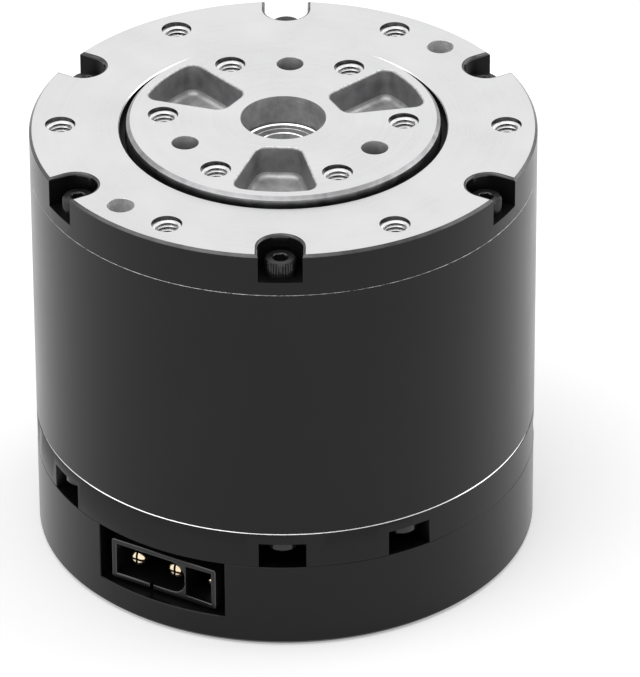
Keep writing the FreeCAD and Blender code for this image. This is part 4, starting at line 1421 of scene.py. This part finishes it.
@dataclass(frozen=True)
class SocketScrew:
    """A socket head screw with a knurled head, drawn head up with its seat at height 0.

    The socket's lead-in is wider than its corners by lead_in_width at the top, and lead_in_foot
    of them at its foot. The shank stands shank_sunk into the head.
    """

    head_radius: float = 1.8 * MM
    head_height: float = 1.8 * MM
    top_chamfer: float = 0.2 * MM
    knurls: int = 36
    knurl_depth: float = 0.09 * MM
    socket_width: float = 1.5 * MM
    socket_depth: float = 0.9 * MM
    lead_in_width: float = 0.62 * MM
    lead_in_depth: float = 0.14 * MM
    lead_in_foot: float = 0.9
    lead_in_steps: int = 24
    clear: float = 0.5 * MM
    shank_radius: float = 0.99 * MM
    shank_sides: int = 20
    shank_sunk: float = 0.02 * MM
    grip: float = 5.0 * MM

    def build(self) -> Shape:
        """The screw, on the Z axis.

        Returns:
            The head with its hexagon socket, and the shank below it.
        """
        head = Shape()
        made = bmesh.ops.create_circle(
            head.mesh, cap_ends=True, radius=self.head_radius, segments=self.knurls * 2
        )["verts"]
        inner = 1.0 - self.knurl_depth / self.head_radius
        if self.knurl_depth > 0.0:
            bmesh.ops.scale(head.mesh, vec=(inner, inner, 1.0), verts=made[::2])
        head.mesh.faces.ensure_lookup_table()
        head.raise_face([head.mesh.faces[0]], self.head_height - self.top_chamfer)
        upper = [side for side in head.mesh.faces if lowest(side) > self.head_height / 2.0]
        shrink = 1.0 - self.top_chamfer / self.head_radius
        head.raise_face(upper, self.top_chamfer, shrink)
        head.tidy()
        corner = self.socket_width / 2.0 / math.cos(math.pi / HEXAGON)
        above = self.head_height + self.clear
        head.cut(Shape.prism(HEXAGON, corner, self.head_height - self.socket_depth, above))
        foot = self.head_height - self.lead_in_depth
        lead_in = [
            (0.0, above),
            (corner + self.lead_in_width, above),
            (corner * self.lead_in_foot, foot),
            (0.0, foot),
        ]
        head.cut(Shape.lathe(lead_in, self.lead_in_steps))
        return head.add(Shape.prism(self.shank_sides, self.shank_radius, -self.grip, self.shank_sunk))


@dataclass
class Screws:
    """All the screws that a hand can reach: in the notches, in the slots and in the rear cover."""

    notch_count: int = 6
    notch_twist: float = 12.0
    slot_angles: tuple[float, float] = (30.0, 60.0)
    slot_count: int = 4
    cover_angle: float = 45.0
    cover_count: int = 4
    body: str = "housing"
    slot: str = "black_steel"
    finishes: tuple[Finish, ...] = (BLACK_OXIDE,)

    def build(self) -> None:
        """Builds the three sets."""
        self.front_ring_screws()
        self.rear_housing_screws()
        self.rear_cover_screws()

    def front_ring_screws(self) -> bpy.types.Object:
        """The cap screws that stand in the front ring's notches.

        Returns:
            The finished object.
        """
        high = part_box("front_ring_screws")[1]
        screw = SocketScrew()
        circle, seat = high.x - screw.head_radius, high.z - screw.head_height
        angles = round_angles(0.0, self.notch_count)
        places = [on_circle(circle, angle, seat) for angle in angles]
        shape = screw.build().copies(places, [angle + self.notch_twist for angle in angles])
        return shape.finish("front_cap_screws", self.finishes, self.body, self.slot, ["front_ring_screws"])

    def rear_housing_screws(self) -> bpy.types.Object:
        """The low head screws that hang in the slots, heads down.

        Returns:
            The finished object.
        """
        low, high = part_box("rear_housing_screws")
        screw = SocketScrew(
            head_height=1.2 * MM, socket_depth=0.6 * MM, knurl_depth=0.0, top_chamfer=0.3 * MM
        )
        # the screws nearest the X axis are the outermost along it
        circle = (high.x - screw.head_radius) / math.cos(math.radians(self.slot_angles[0]))
        angles = [base + turn for base in self.slot_angles for turn in round_angles(0.0, self.slot_count)]
        places = [on_circle(circle, angle, low.z + screw.head_height) for angle in angles]
        shape = screw.build().turn(180.0, SIDEWAYS).copies(places, angles)
        return shape.finish("slot_screws", self.finishes, self.body, self.slot, ["rear_housing_screws"])

    def rear_cover_screws(self) -> bpy.types.Object:
        """The long cap screws sunk in the rear cover, heads down.

        Returns:
            The finished object.
        """
        low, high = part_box("rear_cover_screws")
        screw = SocketScrew(grip=high.z - low.z - SocketScrew.head_height)
        circle = (high.x - screw.head_radius) / math.cos(math.radians(self.cover_angle))
        angles = round_angles(self.cover_angle, self.cover_count)
        places = [on_circle(circle, angle, low.z + screw.head_height) for angle in angles]
        shape = screw.build().turn(180.0, SIDEWAYS).copies(places, angles)
        return shape.finish("cover_cap_screws", self.finishes, self.body, self.slot, ["rear_cover_screws"])


# ---------------------------------------------------------------- connector


@dataclass
class Connector:
    """The power and signal connector: moulded shell, two slit power contacts, two signal contacts."""

    wall: float = 0.65 * MM
    corner: float = 0.25 * MM
    power_share: float = 0.705
    partition: float = 0.2 * MM
    power_depth: float = 9.0 * MM
    signal_depth: float = 7.0 * MM
    cavity_round: float = 1.6 * MM
    cavity_steps: int = 6
    key_width: float = 0.42 * MM
    key_place: float = -1.65 * MM
    key_depth: float = 0.7 * MM
    rim_round: float = 0.13 * MM
    power_radius: float = 1.0 * MM
    power_offset: float = 2.5 * MM
    power_sides: int = 40
    slit_width: float = 0.28 * MM
    slit_depth: float = 2.6 * MM
    slit_reach: float = 1.5
    tip_round: float = 0.62 * MM
    signal_tip: float = 0.16 * MM
    clear: float = 1.0 * MM
    body: str = "housing"

    def build(self) -> None:
        """Builds the shell and the contacts."""
        self.shell()
        self.power_contacts()
        self.signal_contacts()

    def facing_front(self, points: Sequence[tuple[float, float]], rear: float, front: float) -> Shape:
        """A prism over an upright outline of (X, Z) corners, from a rear Y to a front Y."""
        return Shape.outline(points, -rear, -front).turn(90.0, SIDEWAYS)

    def shell(self) -> bpy.types.Object:
        """The moulded shell: a power cavity with two round corners, a signal cavity and a key notch.

        Returns:
            The finished object.
        """
        low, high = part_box("connector_shell")
        left, right = low.x + self.wall, high.x - self.wall
        bottom, top = low.z + self.wall, high.z - self.wall
        split = left + (right - left) * self.power_share + self.partition
        signal_left = split + self.partition
        power = [(left, top), (left, bottom)]
        for height, first in ((bottom + self.cavity_round, -90.0), (top - self.cavity_round, 0.0)):
            for step in range(self.cavity_steps + 1):
                way = on_circle(self.cavity_round, first + 90.0 * step / self.cavity_steps)
                power.append((split - self.cavity_round + way.x, height + way.y))
        signal = [(signal_left, bottom), (right, bottom), (right, top), (signal_left, top)]
        outside = [(low.x, low.z), (high.x, low.z), (high.x, high.z), (low.x, high.z)]
        half_key = self.key_width / 2.0
        key = [
            (self.key_place - half_key, low.z - self.clear), (self.key_place + half_key, low.z - self.clear),
            (self.key_place + half_key, bottom + self.wall), (self.key_place - half_key, bottom + self.wall),
        ]
        open_end = low.y - self.clear
        shape = self.facing_front(outside, high.y, low.y)
        shape.bevel(lambda edge: abs((edge.verts[0].co - edge.verts[1].co).y) > MM, self.corner, segments=3)
        # the cavities' walls get the painted shade finish
        shape.cut(self.facing_front(power, low.y + self.power_depth, open_end), Surface.PAINTED_SHADE)
        shape.cut(self.facing_front(signal, low.y + self.signal_depth, open_end), Surface.PAINTED_SHADE)
        shape.cut(self.facing_front(key, low.y + self.key_depth, open_end), Surface.PAINTED_SHADE)

        def front_edge(edge: bmesh.types.BMEdge) -> bool:
            """Is this a sharp edge of the front face, away from the partition?

            Args:
                edge: The edge to judge.

            Returns:
                True for an edge to round.
            """
            flush = all(abs(vert.co.y - low.y) < FLUSH for vert in edge.verts)
            near = all(split - SAME_PLACE < vert.co.x < signal_left + SAME_PLACE for vert in edge.verts)
            return flush and not near and edge.calc_face_angle(0.0) > CORNER_ANGLE

        shape.bevel(front_edge, self.rim_round, segments=3, surface=Surface.GLOSS, clamp=True)
        finishes = [MOULDED_BLACK, *SURFACES[1:]]
        return shape.finish(
            "connector_moulding", finishes, self.body, "connector_plastic", ["connector_shell"]
        )

    def power_contacts(self) -> bpy.types.Object:
        """Two round contacts, each slit crosswise into four springy fingers.

        Returns:
            The finished object.
        """
        low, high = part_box("power_pins")
        length = high.y - low.y
        pin = Shape.prism(self.power_sides, self.power_radius, 0.0, length)
        pin.bevel(lambda edge: is_level(edge, length), self.tip_round, segments=6)
        half, reach = self.slit_width / 2.0, self.power_radius * self.slit_reach
        for wide, narrow in ((reach, half), (half, reach)):
            low_corner = Vector((-wide, -narrow, length - self.slit_depth))
            pin.cut(Shape.block(low_corner, Vector((wide, narrow, length + MM))))
        pin.turn(90.0, SIDEWAYS)
        middle = (low + high) / 2.0
        places = [Vector((middle.x + side * self.power_offset, high.y, middle.z)) for side in (-1.0, 1.0)]
        shape = pin.copies(places)
        return shape.finish("power_contacts", [GOLD_PLATE], self.body, "gold_plated", ["power_pins"])

    def signal_contacts(self) -> bpy.types.Object:
        """Two thin contacts with rounded tips.

        Returns:
            The finished object.
        """
        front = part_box("signal_pins")[0].y
        shape = Shape.of_node("signal_pins")
        shape.bevel(
            lambda edge: all(abs(vert.co.y - front) < MICRON for vert in edge.verts),
            self.signal_tip,
            segments=3,
        )
        return shape.finish("signal_contacts", [GOLD_PLATE], self.body, "gold_plated", ["signal_pins"])


# ---------------------------------------------------------------- pieces inside


@dataclass
class Inside:
    """The pieces behind the casing, which keep their own shape and get their finish."""

    finishes: dict[str, Finish] = field(
        default_factory=lambda: {
            "bare_aluminium": TURNED_ALUMINIUM,
            "black_steel": BLACK_OXIDE,
            "gear_steel": GEAR_STEEL,
            "bearing_steel": BEARING_STEEL,
            "seal_rubber": SEAL_RUBBER,
            "stator_laminations": LAMINATIONS,
            "copper_winding": COPPER_WIRE,
            "rotor_steel": ROTOR_STEEL,
            "magnet": MAGNET_NICKEL,
            "circuit_board": BOARD_GREEN,
            "chip_plastic": CHIP_EPOXY,
            "capacitor_can": CAPACITOR_CAN,
            "connector_plastic": MOULDED_BLACK,
            "gold_plated": GOLD_PLATE,
            "black_anodised": BLACK_ANODISED,
        }
    )

    def dress(self) -> None:
        """Gives every node the finish of its material slot."""
        for part in frame["record"]["subparts"]:
            node = frame["nodes"][part["node"]]
            material = material_of(self.finishes[part["material_slot"]])
            if not node.material_slots:
                node.data.materials.append(material)
            for place in node.material_slots:
                place.material = material
            log.info("%s: %s", part["node"], material.name)


# ---------------------------------------------------------------- studio


@dataclass
class Studio:
    """The pale floor, the soft lamps, the world and the camera."""

    azimuth: float = 30.6
    elevation: float = 31.86
    roll: float = -0.27
    distance: float = 0.8367
    aim_height: float = 22.85 * MM
    aim_right: float = 4.0 * MM
    lens: float = 390.1
    sensor: float = 36.0
    clip: tuple[float, float] = (0.01, 20.0)
    floor_size: float = 6.0
    floor_gap: float = 0.02 * MM
    floor_albedo: float = 0.80
    floor_glow: float = 0.30
    world_light: float = 0.62
    lamps: tuple[tuple[str, tuple[float, float], float, float, float], ...] = (
        ("key_left", (-70.0, 55.0), 1.0, 1.00, 3.2),
        ("fill_right", (115.0, 35.0), 1.0, 0.80, 2.6),
        ("top", (-30.0, 84.0), 1.3, 1.40, 4.6),
    )

    def build(self) -> None:
        """Builds the whole studio."""
        self.floor()
        self.world()
        for name, aim, away, size, power in self.lamps:
            self.lamp(name, aim, away, size, power)
        self.camera()

    def floor(self) -> bpy.types.Object:
        """A wide pale floor that shows white where no shadow falls.

        Returns:
            The floor.
        """
        shape = Shape()
        bmesh.ops.create_grid(shape.mesh, x_segments=1, y_segments=1, size=self.floor_size / 2.0)
        shape.move(Vector((0.0, 0.0, -self.floor_gap)))
        plane = shape.as_object("studio_floor")
        material = bpy.data.materials.new("studio_floor")
        material.use_nodes = True
        tree = NodeTree(material.node_tree)
        material.node_tree.nodes.clear()
        paint = tree.add("ShaderNodeBsdfDiffuse")
        paint.inputs["Color"].default_value = (self.floor_albedo,) * 3 + (1.0,)
        glow = tree.add("ShaderNodeEmission")
        tree.link(tree.math("MULTIPLY", tree.shows_white(), self.floor_glow), glow.inputs["Strength"])
        both = tree.add("ShaderNodeAddShader")
        tree.link(paint.outputs[0], both.inputs[0])
        tree.link(glow.outputs[0], both.inputs[1])
        output = tree.add("ShaderNodeOutputMaterial")
        tree.link(both.outputs[0], output.inputs["Surface"])
        plane.data.materials.append(material)
        plane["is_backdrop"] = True
        return plane

    def world(self) -> bpy.types.World:
        """Even light all round, white where it is seen straight or in a reflection.

        Returns:
            The world.
        """
        world = bpy.data.worlds.new("studio_world")
        bpy.context.scene.world = world
        world.use_nodes = True
        tree = NodeTree(world.node_tree)
        background = world.node_tree.nodes["Background"]
        background.inputs["Color"].default_value = (1.0, 1.0, 1.0, 1.0)
        strength = tree.span(tree.shows_white(), 0.0, 1.0, self.world_light, 1.0)
        tree.link(strength, background.inputs["Strength"])
        return world

    def lamp(self, name: str, aim: tuple[float, float], away: float, size: float, power: float) -> None:
        """A square soft lamp that faces the actuator.

        Args:
            name: The lamp's name.
            aim: Its azimuth from the camera's and its elevation.
            away: Its distance.
            size: The length of its side.
            power: Its power in watts.
        """
        data = bpy.data.lights.new(name, "AREA")
        data.shape = "SQUARE"
        data.size = size
        data.energy = power
        lamp = bpy.data.objects.new(name, data)
        bpy.context.scene.collection.objects.link(lamp)
        back = self.direction(self.azimuth + aim[0], aim[1])
        lamp.location = Vector((0.0, 0.0, self.aim_height)) + back * away
        lamp.rotation_euler = back.to_track_quat("Z", "Y").to_euler()

    def camera(self) -> bpy.types.Object:
        """The camera, a little to the right of the axis.

        Returns:
            The camera.
        """
        data = bpy.data.cameras.new("studio_camera")
        data.lens = self.lens
        data.sensor_width = self.sensor
        camera = bpy.data.objects.new("studio_camera", data)
        bpy.context.scene.collection.objects.link(camera)
        back = self.direction(self.azimuth, self.elevation)
        turn = math.radians(self.azimuth)
        right = Vector((math.cos(turn), math.sin(turn), 0.0))
        target = Vector((0.0, 0.0, self.aim_height)) + right * self.aim_right
        camera.location = target + back * self.distance
        facing = back.to_track_quat("Z", "Y").to_matrix()
        facing = facing @ Matrix.Rotation(math.radians(self.roll), 3, "Z")
        camera.rotation_euler = facing.to_euler()
        data.clip_start, data.clip_end = self.clip
        bpy.context.scene.camera = camera
        return camera

    @staticmethod
    def direction(azimuth: float, elevation: float) -> Vector:
        """The unit vector from the actuator towards an azimuth and an elevation."""
        turn, rise = math.radians(azimuth), math.radians(elevation)
        return Vector((math.sin(turn) * math.cos(rise), -math.cos(turn) * math.cos(rise), math.sin(rise)))


def main() -> None:
    """Builds the studio and every sub-assembly, in order, and measures the sizes."""
    logging.basicConfig(level=logging.INFO, format="%(name)s %(message)s")
    frame_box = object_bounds()
    settings = bpy.context.scene.view_settings
    settings.view_transform = "Standard"
    Studio().build()
    Inside().dress()
    for assembly in (Casing(), FrontRing(), OutputFlange(), Screws(), Connector()):
        log.info("building %s", type(assembly).__name__)
        assembly.build()
    boxes = {"cad": frame_box, "visual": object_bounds()}
    {name: [list(corner) for corner in box] for name, box in boxes.items()}


if __name__ == "__main__":
    main()
